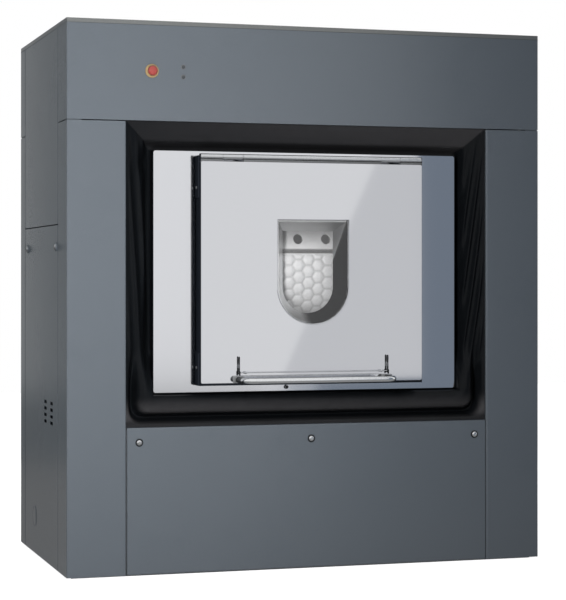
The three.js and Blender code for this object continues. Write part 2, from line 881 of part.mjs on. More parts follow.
// The motor: a finned barrel between two end shields, on feet, with a bore for its shaft.
function makeMotor() {
  const crest = motor.radius + motor.finHeight;
  const pitch = (2 * Math.PI) / motor.fins;
  const finShares = [[0, motor.radius], [0.3, crest], [0.5, crest], [0.8, motor.radius]];
  const fins = Array.from({ length: motor.fins }, (_, i) =>
    finShares.map(([share, radius]) => [
      radius * Math.cos(pitch * (i + share)),
      motorZ + radius * Math.sin(pitch * (i + share)),
    ]),
  ).flat();
  const barrel = prism("x", fins, [motorEnds[0] + motorShield, motorEnds[1] - motorShield]);
  const core = rod("x", motor.radius, motorEnds, [0, motorZ], facets.small);
  const boreSpan = [motorEnds[1] - motorShield, motorEnds[1] + overrun];
  const bore = rod("x", motor.shaft + running, boreSpan, [0, motorZ]);
  const reach = railY - cradle.railWidth / 2 - fit;
  const level = [motorZ - motor.foot / 2, motorZ + motor.foot / 2];
  const feet = motorFeet.map((x) => block([x, x + motorShield], [-reach, reach], level));
  return piece("motor", cut(join(barrel, core, ...feet), bore), motorPaint);
}

// The small pulley on the motor's shaft.
function makeMotorPulley() {
  const span = [pulleyX - pulley.width / 2, pulleyX + pulley.width / 2];
  const wheel = rod("x", pulley.motorRadius, span, [0, motorZ], facets.pulley);
  const shaft = rod("x", motor.shaft, [motorEnds[1] - motorShield + running, span[1]], [0, motorZ]);
  return piece("motor_pulley", join(wheel, shaft), castIron);
}

// The large pulley on the drum's shaft: a rim, a hub and spokes.
function makeDrumPulley() {
  const span = [pulleyX - pulley.width / 2, pulleyX + pulley.width / 2];
  const long = [span[0] - overrun, span[1] + overrun];
  const across = [0, axisZ];
  const rim = pipe("x", pulley.drumRadius, pulley.drumRadius - pulley.rim, span, across, facets.pulley);
  const hub = rod("x", 2 * drum.shaft, span, across, facets.small);
  const spokes = Array.from({ length: pulley.spokes }, (_, i) => {
    const outline = [
      [pulleyX - pulley.web, drum.shaft],
      [pulleyX + pulley.web, drum.shaft],
      [pulleyX + pulley.web, pulley.drumRadius - pulley.rim / 2],
      [pulleyX - pulley.web, pulley.drumRadius - pulley.rim / 2],
    ];
    return turnedRib(outline, pulley.spokeWidth, (2 * Math.PI * i) / pulley.spokes);
  });
  const bore = rod("x", drum.shaft + running, long, across, facets.shaft);
  return piece("drum_pulley", cut(join(rim, hub, ...spokes), bore), castIron);
}

// The belt round both pulleys: the outline of two circles and their common tangents.
function beltOutline(more) {
  const large = pulley.drumRadius + belt.clearance + more;
  const small = pulley.motorRadius + belt.clearance + more;
  const lean = Math.asin((large - small) / (axisZ - motorZ));
  const step = facets.pulley;
  return [
    ...arc([0, axisZ], large, -lean, Math.PI + lean, step),
    ...arc([0, motorZ], small, Math.PI + lean, 2 * Math.PI - lean, step / 2),
  ];
}

function makeBelt() {
  const span = [pulleyX - belt.width / 2, pulleyX + belt.width / 2];
  const inside = [span[0] - overrun, span[1] + overrun];
  const grown = prism("x", beltOutline(belt.thickness), span);
  return piece("drive_belt", cut(grown, prism("x", beltOutline(0), inside)), rubber);
}

// The drain valve under the tub, with its actuator and the spigot into the outlet.
function makeDrainValve() {
  const top = tubBottom - fit;
  const bodyTop = top - drainValve.spigot;
  const body = block(
    [drainValve.x - drainValve.width / 2, drainValve.x + drainValve.width / 2],
    [-drainValve.depth / 2, drainValve.depth / 2],
    [bodyTop - drainValve.height, bodyTop],
  );
  const neck = rod("z", drainValve.spigot, [bodyTop - overrun, top], [drainValve.x, 0]);
  const head = rod(
    "z",
    drainValve.actuator,
    [bodyTop - 2 * drainValve.height, bodyTop - drainValve.height + overrun],
    [drainValve.x, 0],
  );
  return piece("drain_valve", join(body, neck, head), black);
}

// Drum

const degrees = Math.PI / 180;
const spread = wayInDegrees * degrees;
const seamAngle = Math.asin(flap.seamHeight / drumRadius);
const pinRadius = drumRadius - drum.wall - flap.barrel;

// A point on the drum's cross-section. The angle rises from the unloading side.
const onDrum = (radius, angle) => [-radius * Math.cos(angle), axisZ + radius * Math.sin(angle)];

// A strip of a ring between two radii and two angles.
function ringStrip([inner, outer], [from, to], steps) {
  const at = (radius, i) => onDrum(radius, from + ((to - from) * i) / steps);
  const out = Array.from({ length: steps + 1 }, (_, i) => at(outer, i));
  const back = Array.from({ length: steps + 1 }, (_, i) => at(inner, steps - i));
  return [...out, ...back];
}

// The drum: a hollow cylinder on two stub shafts, with lifters inside and the way in for the laundry.
function makeDrum() {
  const across = [0, axisZ];
  const end = drumHalfLength;
  const hubEnd = end + drum.hubLength;
  const left = bearingEnd + drum.seat;
  const right = pulleyX + pulley.width / 2 + drum.seat;
  const profile = [
    [0, -left],
    [drum.shaft, -left],
    [drum.shaft, -hubEnd],
    [drum.hub, -end],
    [drumRadius, -end],
    [drumRadius, end],
    [drum.hub, end],
    [drum.shaft, hubEnd],
    [drum.shaft, right],
    [0, right],
  ];
  const shell = turned("x", profile, facets.drum, across);
  const inner = [-end + drum.endWall, end - drum.endWall];
  const hollow = rod("x", drumRadius - drum.wall, inner, across, facets.drum);
  const half = flapHalfLength + flap.edgeGap;
  const wayIn = ringStrip([drumRadius / 2, drumRadius + overrun], [-spread, spread], facets.small);
  const way = prism("x", wayIn, [-half, half]);
  const lifterAngles = Array.from(
    { length: lifter.count },
    (_, i) => Math.PI + (i - (lifter.count - 1) / 2) * ((2 * spread * lifter.count) / (lifter.count + 1)),
  );
  const lifters = lifterAngles.map((angle) => prism("x", lifterOutline(angle, 0), inner));
  const cores = lifterAngles.map((angle) => prism("x", lifterOutline(angle, lifter.wall), inner));
  const drainX = drumHalfLength - lifter.drainMargin;
  const drains = lifterAngles.flatMap((angle) => [-drainX, drainX].map((x) => lifterDrain(angle, x)));
  const lugs = [-1, 1].flatMap((sx) => [-1, 1].map((edge) => makeLug(sx, edge)));
  const whole = cut(join(cut(shell, hollow, way), ...lifters), ...cores, ...drains);
  return piece("drum", join(whole, ...lugs), drumSteel);
}

// The outline of a lifter at an angle, drawn in by the thickness of its sheet.
function lifterOutline(angle, less) {
  const outer = drumRadius - drum.wall / 2 - less;
  const crown = outer - lifter.height + 2 * less;
  const foot = (lifter.foot / 2 - 2 * less) / outer;
  const crest = (lifter.crestWidth / 2 - less) / crown;
  const seat = Array.from({ length: facets.corner + 1 }, (_, j) =>
    onDrum(outer, angle + foot - (2 * foot * j) / facets.corner),
  );
  return [...seat, onDrum(crown, angle - crest), onDrum(crown, angle + crest)];
}

// A drain hole through the drum's shell under a lifter.
function lifterDrain(angle, x) {
  const [y, z] = onDrum(drumRadius, angle);
  const long = 2 * (drum.wall + overrun);
  const hole = new THREE.CylinderGeometry(lifter.drain, lifter.drain, long, facets.tiny);
  hole.rotateX(Math.PI - angle).translate(x, y, z);
  return solid(hole);
}

// The angle of a flap's hinge pin, at an edge of the way into the drum.
const pinAngle = (edge) => edge * (spread - flap.edgeGap / drumRadius - flap.barrel / drumRadius);

// A lug inside the drum that holds the end of a flap's hinge pin.
function makeLug(sx, edge) {
  const place = onDrum(pinRadius, pinAngle(edge));
  const start = flapHalfLength + flap.edgeGap;
  const span = sx < 0 ? [-start - flap.lug, -start] : [start, start + flap.lug];
  const outer = drumRadius - drum.wall / 2;
  const half = flap.lugHalf / pinRadius;
  const angle = pinAngle(edge);
  const outline = ringStrip([pinRadius - flap.lugDepth, outer], [angle - half, angle + half], 2);
  const body = prism("x", outline, span);
  const bore = rod("x", flap.pin + running, [span[0] - overrun, span[1] + overrun], place, facets.tiny);
  return cut(body, bore);
}

// A flap of the drum. Its free edge is set in, and its hinge edge has a barrel with a pin at each end.
function makeFlap(name, edge) {
  const half = flapHalfLength;
  const span = [-half, half];
  const hingeEnd = edge * spread - (edge * flap.edgeGap) / drumRadius;
  const freeEnd = seamAngle + (edge * flap.gap) / 2 / drumRadius;
  const jog = freeEnd + (edge * flap.joggleWidth) / drumRadius;
  const steps = Math.max(3, Math.round((Math.abs(hingeEnd - jog) * facets.drum) / (2 * Math.PI)));
  const skin = prism("x", ringStrip([drumRadius - flap.sheet, drumRadius], [jog, hingeEnd], steps), span);
  const setIn = drumRadius - flap.joggle;
  const overlap = (edge * flap.sheet) / drumRadius;
  const edgeStrip = prism("x", ringStrip([setIn - flap.sheet, setIn], [freeEnd, jog + overlap], 1), span);
  const riserOutline = ringStrip([setIn - flap.sheet / 2, drumRadius], [jog, jog + overlap], 1);
  const riser = prism("x", riserOutline, span);
  const pin = onDrum(pinRadius, pinAngle(edge));
  const barrel = rod("x", flap.barrel, span, pin, facets.tiny);
  const reach = half + flap.edgeGap + flap.pinLength;
  const pins = rod("x", flap.pin, [-reach, reach], pin, facets.tiny);
  const webHalf = (edge * flap.barrel) / 2 / drumRadius;
  const webOutline = ringStrip(
    [pinRadius, drumRadius - flap.sheet / 2],
    [pinAngle(edge) - webHalf, pinAngle(edge) + webHalf],
    1,
  );
  const web = prism("x", webOutline, span);
  const made = join(skin, edgeStrip, riser, barrel, pins, web);
  if (edge < 0) return piece(name, made, drumSteel);
  const bandFrom = jog + flap.bandStart / drumRadius;
  const bandTo = bandFrom + flap.bandWidth / drumRadius;
  const bandRadii = [drumRadius - flap.sheet - flap.band, drumRadius - flap.sheet / 2];
  const band = prism("x", ringStrip(bandRadii, [bandFrom, bandTo], 2), span);
  const holeZ = axisZ + flap.holeHeight;
  const through = [-drumRadius - overrun, -drumRadius / 2];
  const holes = [-1, 0, 1].map((i) =>
    rod("y", flap.hole / 2, through, [flap.holeRowX + i * flap.holePitch, holeZ]),
  );
  return piece(name, cut(join(made, band), ...holes), drumSteel);
}

// Doors

const hingeAxis = [-doorway.front + hinge.drop + hinge.barrel, doorway.top + hinge.lift];

// The outline of the window, flat at the top and round at the bottom, drawn in by an inset.
function windowOutline(inset) {
  const half = windowPane.width / 2;
  const radius = half - inset;
  const bottomCentre = doorway.bottom + windowPane.bottomMargin + half;
  const top = doorway.top - windowPane.topMargin - inset;
  return [
    ...arc([0, bottomCentre], radius, Math.PI, 2 * Math.PI, facets.window),
    [radius, top],
    [-radius, top],
  ];
}

// A funnel-shaped plug between two insets of the window's outline.
function windowPlug([frontInset, backInset], [frontY, backY]) {
  const at = (inset, y) => windowOutline(inset).map(([x, z]) => [x, y, z]);
  return skinned([at(frontInset, frontY), at(backInset, backY)], false);
}

// The hollow door with its window funnel, the hinge leaf and barrels, and drain holes along the bottom.
function makeDoorShell(name) {
  const { halfWidth: half, bottom, top, front, back } = doorway;
  const w = door.wall;
  const outline = (less) =>
    roundedRectangle([-half + less, half - less], [bottom + less, top - less], door.cornerRadius - less);
  const skin = cut(prism("y", outline(0), [-front, -back]), prism("y", outline(w), [-front + w, -back - w]));
  const paneBack = -front + windowPane.sunk + windowPane.thickness + fit;
  const pocket = prism("y", windowOutline(0), [-front - overrun, paneBack]);
  const grow = windowPane.wall;
  const funnelSlope = (windowPane.inset - windowPane.ledge) / (-back - paneBack);
  const past = overrun * funnelSlope;
  const collar = prism("y", windowOutline(-grow), [-front, paneBack + grow]);
  const outerCone = windowPlug([windowPane.ledge - grow, windowPane.inset - grow], [paneBack, -back]);
  const innerCone = windowPlug(
    [windowPane.ledge - past, windowPane.inset + past],
    [paneBack - overrun, -back + overrun],
  );
  const knuckleEnds = [knuckleX - hinge.knuckle / 2, knuckleX + hinge.knuckle / 2];
  const barrelSpans = [
    [-half, -knuckleEnds[1]],
    [-knuckleEnds[0], knuckleEnds[0]],
    [knuckleEnds[1], half],
  ];
  const leafY = hingeAxis[0] - hinge.leaf / 2;
  const leafEnd = half - door.cornerRadius;
  const hinges = barrelSpans.map((span) => {
    const barrel = rod("x", hinge.barrel, span, hingeAxis, facets.small);
    const leafSpan = [Math.max(span[0], -leafEnd), Math.min(span[1], leafEnd)];
    const leaf = block(leafSpan, [leafY, leafY + hinge.leaf], [top - w, hingeAxis[1]]);
    const bore = rod("x", hinge.bore, [span[0] - overrun, span[1] + overrun], hingeAxis, facets.small);
    return cut(join(barrel, leaf), bore);
  });
  const drains = Array.from({ length: door.drains }, (_, i) => {
    const x = -half + ((i + 0.5) * 2 * half) / door.drains;
    const place = [x, -(front + back) / 2];
    return rod("z", door.drain, [bottom - overrun, bottom + overrun], place, facets.tiny);
  });
  const shell = cut(join(skin, collar, outerCone), pocket, innerCone, ...drains);
  return piece(name, join(shell, ...hinges), stainless);
}

function makeWindow(name) {
  const from = -doorway.front + windowPane.sunk;
  return piece(name, prism("y", windowOutline(fit), [from, from + windowPane.thickness]), glass);
}

// The flat seal on the back of the door, round the mouth of the tub.
function makeSeal(name) {
  const span = [-doorway.back + fit, -panel.front - fit];
  const inner = prism("y", mouthOutline(seal.overlap), [span[0] - overrun, span[1] + overrun]);
  return piece(name, cut(prism("y", mouthOutline(seal.overlap + seal.width), span), inner), rubber);
}

function makeHingeRod(name) {
  return piece(name, rod("x", hinge.rod, [-doorway.halfWidth, doorway.halfWidth], hingeAxis), stainless);
}

const gripZ = doorway.bottom + grip.height;
const latchAxis = [-doorway.front - latch.out, doorway.bottom + latch.height];

// The bow handle: a round bar with two bent arms, on foot plates whose ears carry the latch shaft.
function makeHandle(name) {
  const barY = -doorway.front - grip.standoff;
  const quarter = Math.PI / 2;
  const bendX = gripX - grip.bend;
  const bendY = barY + grip.bend;
  const path = [
    [-gripX, -doorway.front - grip.plate / 2, Math.PI + quarter],
    ...arc([-bendX, bendY], grip.bend, Math.PI, Math.PI + quarter, facets.corner).map(([x, y], i) => [
      x,
      y,
      Math.PI + quarter + (quarter * i) / facets.corner,
    ]),
    ...arc([bendX, bendY], grip.bend, -quarter, 0, facets.corner).map(([x, y], i) => [
      x,
      y,
      2 * Math.PI + (quarter * i) / facets.corner,
    ]),
    [gripX, -doorway.front - grip.plate / 2, 2 * Math.PI + quarter],
  ];
  const ring = arc([0, 0], grip.bar, 0, 2 * Math.PI, facets.tiny).slice(1);
  const sections = path.map(([x, y, heading]) =>
    ring.map(([side, up]) => [x - side * Math.sin(heading), y + side * Math.cos(heading), gripZ + up]),
  );
  const bow = skinned(sections, false);
  const plateBottom = gripZ - grip.bar;
  const plates = [-gripX, gripX].map((x) =>
    block(
      [x - grip.plateWidth / 2, x + grip.plateWidth / 2],
      [-doorway.front - fit - grip.plate, -doorway.front - fit],
      [plateBottom, plateBottom + grip.plateHeight],
    ),
  );
  const earX = gripX - latch.earInset;
  const ears = [-earX, earX].map((x) => {
    const span = [x - latch.ear / 2, x + latch.ear / 2];
    const foot = x < 0 ? [span[0] - latch.ear, span[1]] : [span[0], span[1] + latch.ear];
    const ear = rod("x", latch.barrel, span, latchAxis, facets.tiny);
    const level = [latchAxis[1] - latch.barrel / 2, latchAxis[1] + latch.barrel / 2];
    const web = block(span, [latchAxis[0], -doorway.front - fit], level);
    const tie = block(foot, [-doorway.front - fit - grip.plate, -doorway.front - fit], [gripZ, level[1]]);
    const bore = rod("x", latch.bore, [span[0] - overrun, span[1] + overrun], latchAxis, facets.tiny);
    return cut(join(ear, web, tie), bore);
  });
  return piece(name, join(bow, ...plates, ...ears), stainless);
}

// The latch: a shaft with a lever at each end.
function makeLatch(name) {
  const half = latch.thickness / 2;
  const shaft = rod("x", latch.shaft, [-gripX, gripX], latchAxis, facets.tiny);
  const levers = [-gripX, gripX].map((x) => {
    const span = [x - half, x + half];
    const [y, z] = latchAxis;
    const hub = rod("x", latch.barrel, span, latchAxis, facets.tiny);
    const outline = [
      [y - latch.barrel, z],
      [y + latch.barrel / 2, z],
      [y + latch.tip / 2, z + latch.lever],
      [y - latch.tip, z + latch.lever],
    ];
    return join(hub, prism("x", outline, span));
  });
  return piece(name, join(shaft, ...levers), black);
}

// Controls

// The collar of an emergency stop, with a threaded body through the fascia.
function makeCollar(name) {
  const face = -halfDepth - fit;
  const profile = [
    [0, face - estop.collarThickness],
    [estop.collar - estop.collarThickness / 2, face - estop.collarThickness],
    [estop.collar, face],
    [estop.body, face],
    [estop.body, -halfDepth + estop.bodyLength],
    [0, -halfDepth + estop.bodyLength],
  ];
  const through = [face - estop.collarThickness - overrun, -halfDepth + estop.bodyLength + overrun];
  const bore = rod("y", estop.stem + running, through, estopPlace);
  return piece(name, cut(turned("y", profile, facets.control, estopPlace), bore), yellow);
}

// Shares of the head's radius, and of its height from the crown down.
const headShares = [[0, 0], [0.6, 0.08], [0.9, 0.3], [1, 0.6], [0.96, 1]];

// The mushroom head and its stem.
function makeStopButton(name) {
  const collarFace = -halfDepth - fit - estop.collarThickness;
  const under = collarFace - estop.travel - fit;
  const crown = under - estop.headHeight;
  const profile = [
    ...headShares.map(([out, down]) => [estop.head * out, crown + estop.headHeight * down]),
    [estop.stem, under],
    [estop.stem, -halfDepth + estop.bodyLength - estop.travel - running],
    [0, -halfDepth + estop.bodyLength - estop.travel - running],
  ];
  return piece(name, turned("y", profile, facets.control, estopPlace), red);
}

// Two small round lamps on one carrier behind the fascia.
function makeLamps(name) {
  const face = -halfDepth - fit;
  const inside = -halfDepth + casing.sheet + fit;
  const profile = [
    [0, face - lamp.proud],
    [lamp.lens - lamp.bevel, face - lamp.proud],
    [lamp.lens, face],
    [lamp.body, face],
    [lamp.body, inside + lamp.carrier / 2],
    [0, inside + lamp.carrier / 2],
  ];
  const [x, top] = lampPlace;
  const lights = [top, top - lamp.pitch].map((z) => turned("y", profile, facets.small, [x, z]));
  const carrier = block(
    [x - lamp.carrierWidth / 2, x + lamp.carrierWidth / 2],
    [inside, inside + lamp.carrier],
    [top - lamp.pitch - lamp.carrierWidth / 2, top + lamp.carrierWidth / 2],
  );
  return piece(name, join(...lights, carrier), lens);
}

// The bezel of the control panel, with seats for the display, the selector and the start button.
function makeBezel() {
  const back = -halfDepth - fit;
  const front = back - controls.proud;
  const [x, z] = controlsPlace;
  const outline = roundedRectangle(
    [x - controls.width / 2, x + controls.width / 2],
    [z - controls.height / 2, z + controls.height / 2],
    controls.cornerRadius,
  );
  const seat = block(
    [displayEnds[0] - fit, displayEnds[1] + fit],
    [front - overrun, front + display.depth],
    [displayLevels[0] - fit, displayLevels[1] + fit],
  );
  const through = [front - overrun, back + overrun];
  const knobHole = rod("y", selector.socket, through, selectorPlace);
  const startHole = rod("y", startButton.socket, through, startPlace, facets.control);
  const plate = prism("y", outline, [front, back]);
  return piece("control_bezel", cut(plate, seat, knobHole, startHole), black);
}

function makeDisplay() {
  const front = -halfDepth - fit - controls.proud;
  const outline = roundedRectangle(displayEnds, displayLevels, controls.wall);
  const span = [front - display.proud, front + display.depth - fit];
  return piece("display_screen", prism("y", outline, span), screen);
}

// Shares of the knob's radius, and of its height from the bezel.
const knobShares = [[0, 1], [0.86, 1], [0.92, 0.85], [1, 0]];

// The selector knob, with finger grooves round its rim.
function makeSelector() {
  const bezel = -halfDepth - fit - controls.proud;
  const back = bezel - running;
  const centre = selectorPlace;
  const profile = [
    ...knobShares.map(([out, up]) => [selector.radius * out, back - selector.height * up]),
    [selector.stem, back],
    [selector.stem, -halfDepth + casing.sheet + controls.wall],
    [0, -halfDepth + casing.sheet + controls.wall],
  ];
  const knob = turned("y", profile, facets.control, centre);
  const span = [back - selector.height - overrun, back + overrun / 2];
  const grooves = Array.from({ length: 2 * selector.grip }, (_, i) => {
    const angle = (Math.PI * i) / selector.grip;
    const radius = selector.radius + selector.gripDepth / 2;
    const place = [centre[0] + radius * Math.cos(angle), centre[1] + radius * Math.sin(angle)];
    return rod("y", selector.gripDepth, span, place, facets.groove);
  });
  return piece("selector_knob", cut(knob, ...grooves), stainless);
}

function makeStartButton() {
  const bezel = -halfDepth - fit - controls.proud;
  const faceY = bezel - startButton.height / 2;
  const fasciaIn = -halfDepth + casing.sheet;
  const profile = [
    [0, faceY],
    [startButton.radius - startButton.bevel, faceY],
    [startButton.radius, faceY + startButton.bevel],
    [startButton.radius, -halfDepth - startButton.travel - 2 * fit],
    [startButton.stem, -halfDepth - startButton.travel - 2 * fit],
    [startButton.stem, fasciaIn + controls.wall],
    [0, fasciaIn + controls.wall],
  ];
  return piece("start_button", turned("y", profile, facets.control, startPlace), button);
}

// Assembly

// What both sides of the machine have alike, drawn as the unloading side.
function makeSide(prefix, [leftName, rightName], [returnDepth, fasciaHoles]) {
  const side = new THREE.Group();
  const path = columnPath(returnDepth);
  side.add(
    makeColumn(`${prefix}_${leftName}_column`, path),
    makeColumn(`${prefix}_${rightName}_column`, mirrored(path)),
    makeFascia(`${prefix}_fascia`, returnDepth, fasciaHoles),
    makeServicePanel(`${prefix}_service_panel`),
    makeBellows(`${prefix}_bellows`),
    makeTubPanel(`tub_${prefix}_panel`),
    makeDoorShell(`${prefix}_door_shell`),
    makeWindow(`${prefix}_door_window`),
    makeSeal(`${prefix}_door_seal`),
    makeHingeRod(`${prefix}_hinge_rod`),
    makeHandle(`${prefix}_handle`),
    makeLatch(`${prefix}_latch`),
    makeCollar(`${prefix}_estop_collar`),
    makeStopButton(`${prefix}_estop_button`),
  );
  return side;
}

const stopHole = fasciaHole(estopPlace, estop.body + running);
const lampPlaces = [lampPlace, [lampPlace[0], lampPlace[1] - lamp.pitch]];

const unloadingSide = makeSide("front", ["left", "right"], [
  column.frontReturn,
  [stopHole, ...lampPlaces.map((place) => fasciaHole(place, lamp.body + running))],
]);
unloadingSide.add(makeLamps("status_lamps"));

const loadingSide = makeSide("rear", ["right", "left"], [
  column.rearReturn,
  [
    stopHole,
    fasciaHole(selectorPlace, selector.socket),
    fasciaHole(startPlace, startButton.stem + running),
  ],
]);
loadingSide.add(makeBezel(), makeDisplay(), makeSelector(), makeStartButton());
loadingSide.rotation.z = Math.PI;

const cabinet = new THREE.Group();
const lowerPanel = [casing.floorGap, casing.sideSplit - casing.seam / 2];
const upperPanel = [casing.sideSplit + casing.seam / 2, fasciaTop - fit];
cabinet.add(
  makeBaseFrame(),
  makeCabinetFrame(),
  makeTopPanel(),
  makeSidePanel("left_lower_side_panel", -1, lowerPanel, true),
  makeSidePanel("left_upper_side_panel", -1, upperPanel, false),
  makeSidePanel("right_lower_side_panel", 1, lowerPanel, true),
  makeSidePanel("right_upper_side_panel", 1, upperPanel, false),
);

const suspension = new THREE.Group();
suspension.add(
  makeSpring("front_left_spring", -springX, -railY),
  makeSpring("front_right_spring", springX, -railY),
  makeSpring("rear_left_spring", -springX, railY),
  makeSpring("rear_right_spring", springX, railY),
  makeDamperTube("front_damper_tube", -railY),
  makeDamperTube("rear_damper_tube", railY),
  makeDamperRod("front_damper_rod", -railY),
  makeDamperRod("rear_damper_rod", railY),
);

const swingingUnit = new THREE.Group();
swingingUnit.add(
  makeTub(),
  makeBearing("left_bearing", -1),
  makeBearing("right_bearing", 1),
  makeCradle(),
  makeMotor(),
  makeMotorPulley(),
  makeBelt(),
  makeDrainValve(),
  makeDrum(),
  makeDrumPulley(),
  makeFlap("drum_upper_flap", 1),
  makeFlap("drum_lower_flap", -1),
);

const washer = new THREE.Group();
washer.add(cabinet, unloadingSide, loadingSide, suspension, swingingUnit);

export default washer;
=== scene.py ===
"""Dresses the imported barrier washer: bellows, drum pattern, doors, fittings, finishes and a plain studio."""

import json
import math

import bmesh
import bpy
import numpy as np
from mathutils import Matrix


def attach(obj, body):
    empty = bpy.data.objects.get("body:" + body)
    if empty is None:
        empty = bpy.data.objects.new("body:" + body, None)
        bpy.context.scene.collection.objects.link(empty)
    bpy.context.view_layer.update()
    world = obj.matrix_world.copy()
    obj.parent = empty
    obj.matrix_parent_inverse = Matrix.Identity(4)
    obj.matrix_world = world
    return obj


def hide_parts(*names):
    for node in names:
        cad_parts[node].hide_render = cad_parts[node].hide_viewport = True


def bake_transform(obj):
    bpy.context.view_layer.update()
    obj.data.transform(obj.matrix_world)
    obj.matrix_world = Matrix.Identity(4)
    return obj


bl_info = {
    "name": "Barrier washer",
    "version": (1, 0, 0),
    "blender": (4, 5, 0),
    "location": "3D View > Sidebar > Washer",
    "description": "Adds the bellows, drum pattern, door parts, fittings, finishes and studio to the packed washer",
    "category": "Object",
}

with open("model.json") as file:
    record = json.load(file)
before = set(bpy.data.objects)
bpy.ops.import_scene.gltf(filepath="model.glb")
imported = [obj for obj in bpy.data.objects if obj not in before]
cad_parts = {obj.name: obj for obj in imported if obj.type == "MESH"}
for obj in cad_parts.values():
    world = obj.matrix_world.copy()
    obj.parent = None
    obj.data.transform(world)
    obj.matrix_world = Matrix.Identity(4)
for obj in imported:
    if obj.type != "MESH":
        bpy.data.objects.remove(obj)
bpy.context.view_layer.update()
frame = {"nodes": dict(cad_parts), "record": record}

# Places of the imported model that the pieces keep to, in metres
MM = 0.001
CASING_HALF_WIDTH = 0.730
CASING_FRONT = -0.400
OPENING = (-0.5575, 0.5575, 0.429, 1.312)  # left, right, bottom, top
SHEET_SEAM = 0.003
FACE = (-0.4685, 0.4685, 0.526, 1.229)
FACE_FRONT = -0.362
DOOR = (-0.341, 0.341, 0.554, 1.197)
DOOR_FRONT = -0.420
DOOR_BACK = -0.366
DRUM_RADIUS = 0.307
DRUM_AXIS_Z = 0.8775
DRUM_HALF_LENGTH = 0.4155
FLAP_HALF_LENGTH = 0.300
WAY_IN_ANGLE = math.radians(50.4)
SEAM_ANGLE = math.asin(0.062 / DRUM_RADIUS)
HINGE_AXIS = (-0.411, 1.211)  # y, z
LATCH_AXIS = (-0.430, 0.584)  # y, z
GRIP_X = 0.229
GRIP_LEVEL = 0.563
GRIP_BAR_Y = -0.500
WINDOW_HALF_WIDTH = 0.110
WINDOW_TOP = 1.030
WINDOW_CENTRE_Z = 0.834
STOP_PLACE = (-0.482, 1.455)  # x, z
LAMP_PLACES = ((-0.389, 1.469), (-0.389, 1.440))
DISPLAY = (0.020, 0.240, 1.393, 1.515)
SELECTOR_PLACE = (0.345, 1.454)
START_PLACE = (0.455, 1.454)
BEZEL_FRONT = -0.4063

SIDES = {"front": 1.0, "rear": -1.0}


# Sizes and colours that a user would change


def length(name, default, description):
    """A length in metres."""
    return bpy.props.FloatProperty(name=name, description=description, default=default, min=0.0, unit="LENGTH")


def tint(name, default, description):
    """A linear colour."""
    return bpy.props.FloatVectorProperty(
        name=name, description=description, default=default, size=3, min=0.0, max=1.0, subtype="COLOR"
    )


class WasherSizes(bpy.types.PropertyGroup):
    """Sizes of the pieces that dress the washer."""

    cell_across: length("Cell across", 0.0355, "Drum cell between two flat sides")
    cell_height: length("Cell height", 0.0019, "How far a drum cell bulges")
    crease_height: length("Crease height", 0.007, "How far a slanting crease of the bellows stands up")
    rubber_sheet: length("Rubber sheet", 0.0035, "Thickness of the bellows")
    lock_radius: length("Lock radius", 0.0115, "Radius of a panel lock")
    rim_width: length("Window rim", 0.0022, "Width of the bright rim round the window")
    edge_strip: length("Edge strip", 0.0014, "Thickness of the dark strip on the door's side")


class WasherColours(bpy.types.PropertyGroup):
    """Colours of the finishes."""

    paint: tint("Paint", (0.087, 0.100, 0.115), "Satin paint of the casing")
    stainless: tint("Stainless steel", (0.620, 0.628, 0.655), "Door and tub face")
    drum: tint("Drum steel", (0.69, 0.69, 0.695), "Drum and flaps")
    rubber: tint("Rubber", (0.0030, 0.0035, 0.0042), "Bellows and seals")
    frame_steel: tint("Frame steel", (0.07, 0.08, 0.09), "Frames and cradle")
    cast_iron: tint("Cast iron", (0.05, 0.055, 0.06), "Bearings and pulleys")
    motor: tint("Motor paint", (0.03, 0.08, 0.15), "Motor")
    stop_red: tint("Stop red", (0.205, 0.036, 0.031), "Emergency stop")
    stop_yellow: tint("Stop yellow", (0.225, 0.160, 0.080), "Collar of the emergency stop")
    start_green: tint("Start green", (0.07, 0.30, 0.09), "Start button")
    black: tint("Black plastic", (0.0070, 0.0078, 0.0092), "Grips, bezel and strips")


# Shader maths


class Value:
    """A number that changes over a surface. Arithmetic on it adds Math nodes."""

    def __init__(self, finish, socket):
        self.finish = finish
        self.socket = socket

    def maths(self, operation, *operands):
        """One Math node."""
        return self.finish.node("ShaderNodeMath", {"operation": operation}, operands)

    def __add__(self, other):
        return self.maths("ADD", self, other)

    __radd__ = __add__

    def __sub__(self, other):
        return self.maths("SUBTRACT", self, other)

    def __rsub__(self, other):
        return self.maths("SUBTRACT", other, self)

    def __mul__(self, other):
        return self.maths("MULTIPLY", self, other)

    __rmul__ = __mul__

    def __truediv__(self, other):
        return self.maths("DIVIDE", self, other)

    def absolute(self):
        return self.maths("ABSOLUTE", self)

    def fraction(self):
        return self.maths("FRACT", self)

    def at_most(self, other):
        return self.maths("MINIMUM", self, other)

    def at_least(self, other):
        return self.maths("MAXIMUM", self, other)

    def within(self, low, high):
        """0 at low, 1 at high and smooth between them."""
        settings = {"interpolation_type": "SMOOTHSTEP"}
        return self.finish.node("ShaderNodeMapRange", settings, {"Value": self, "From Min": low, "From Max": high})


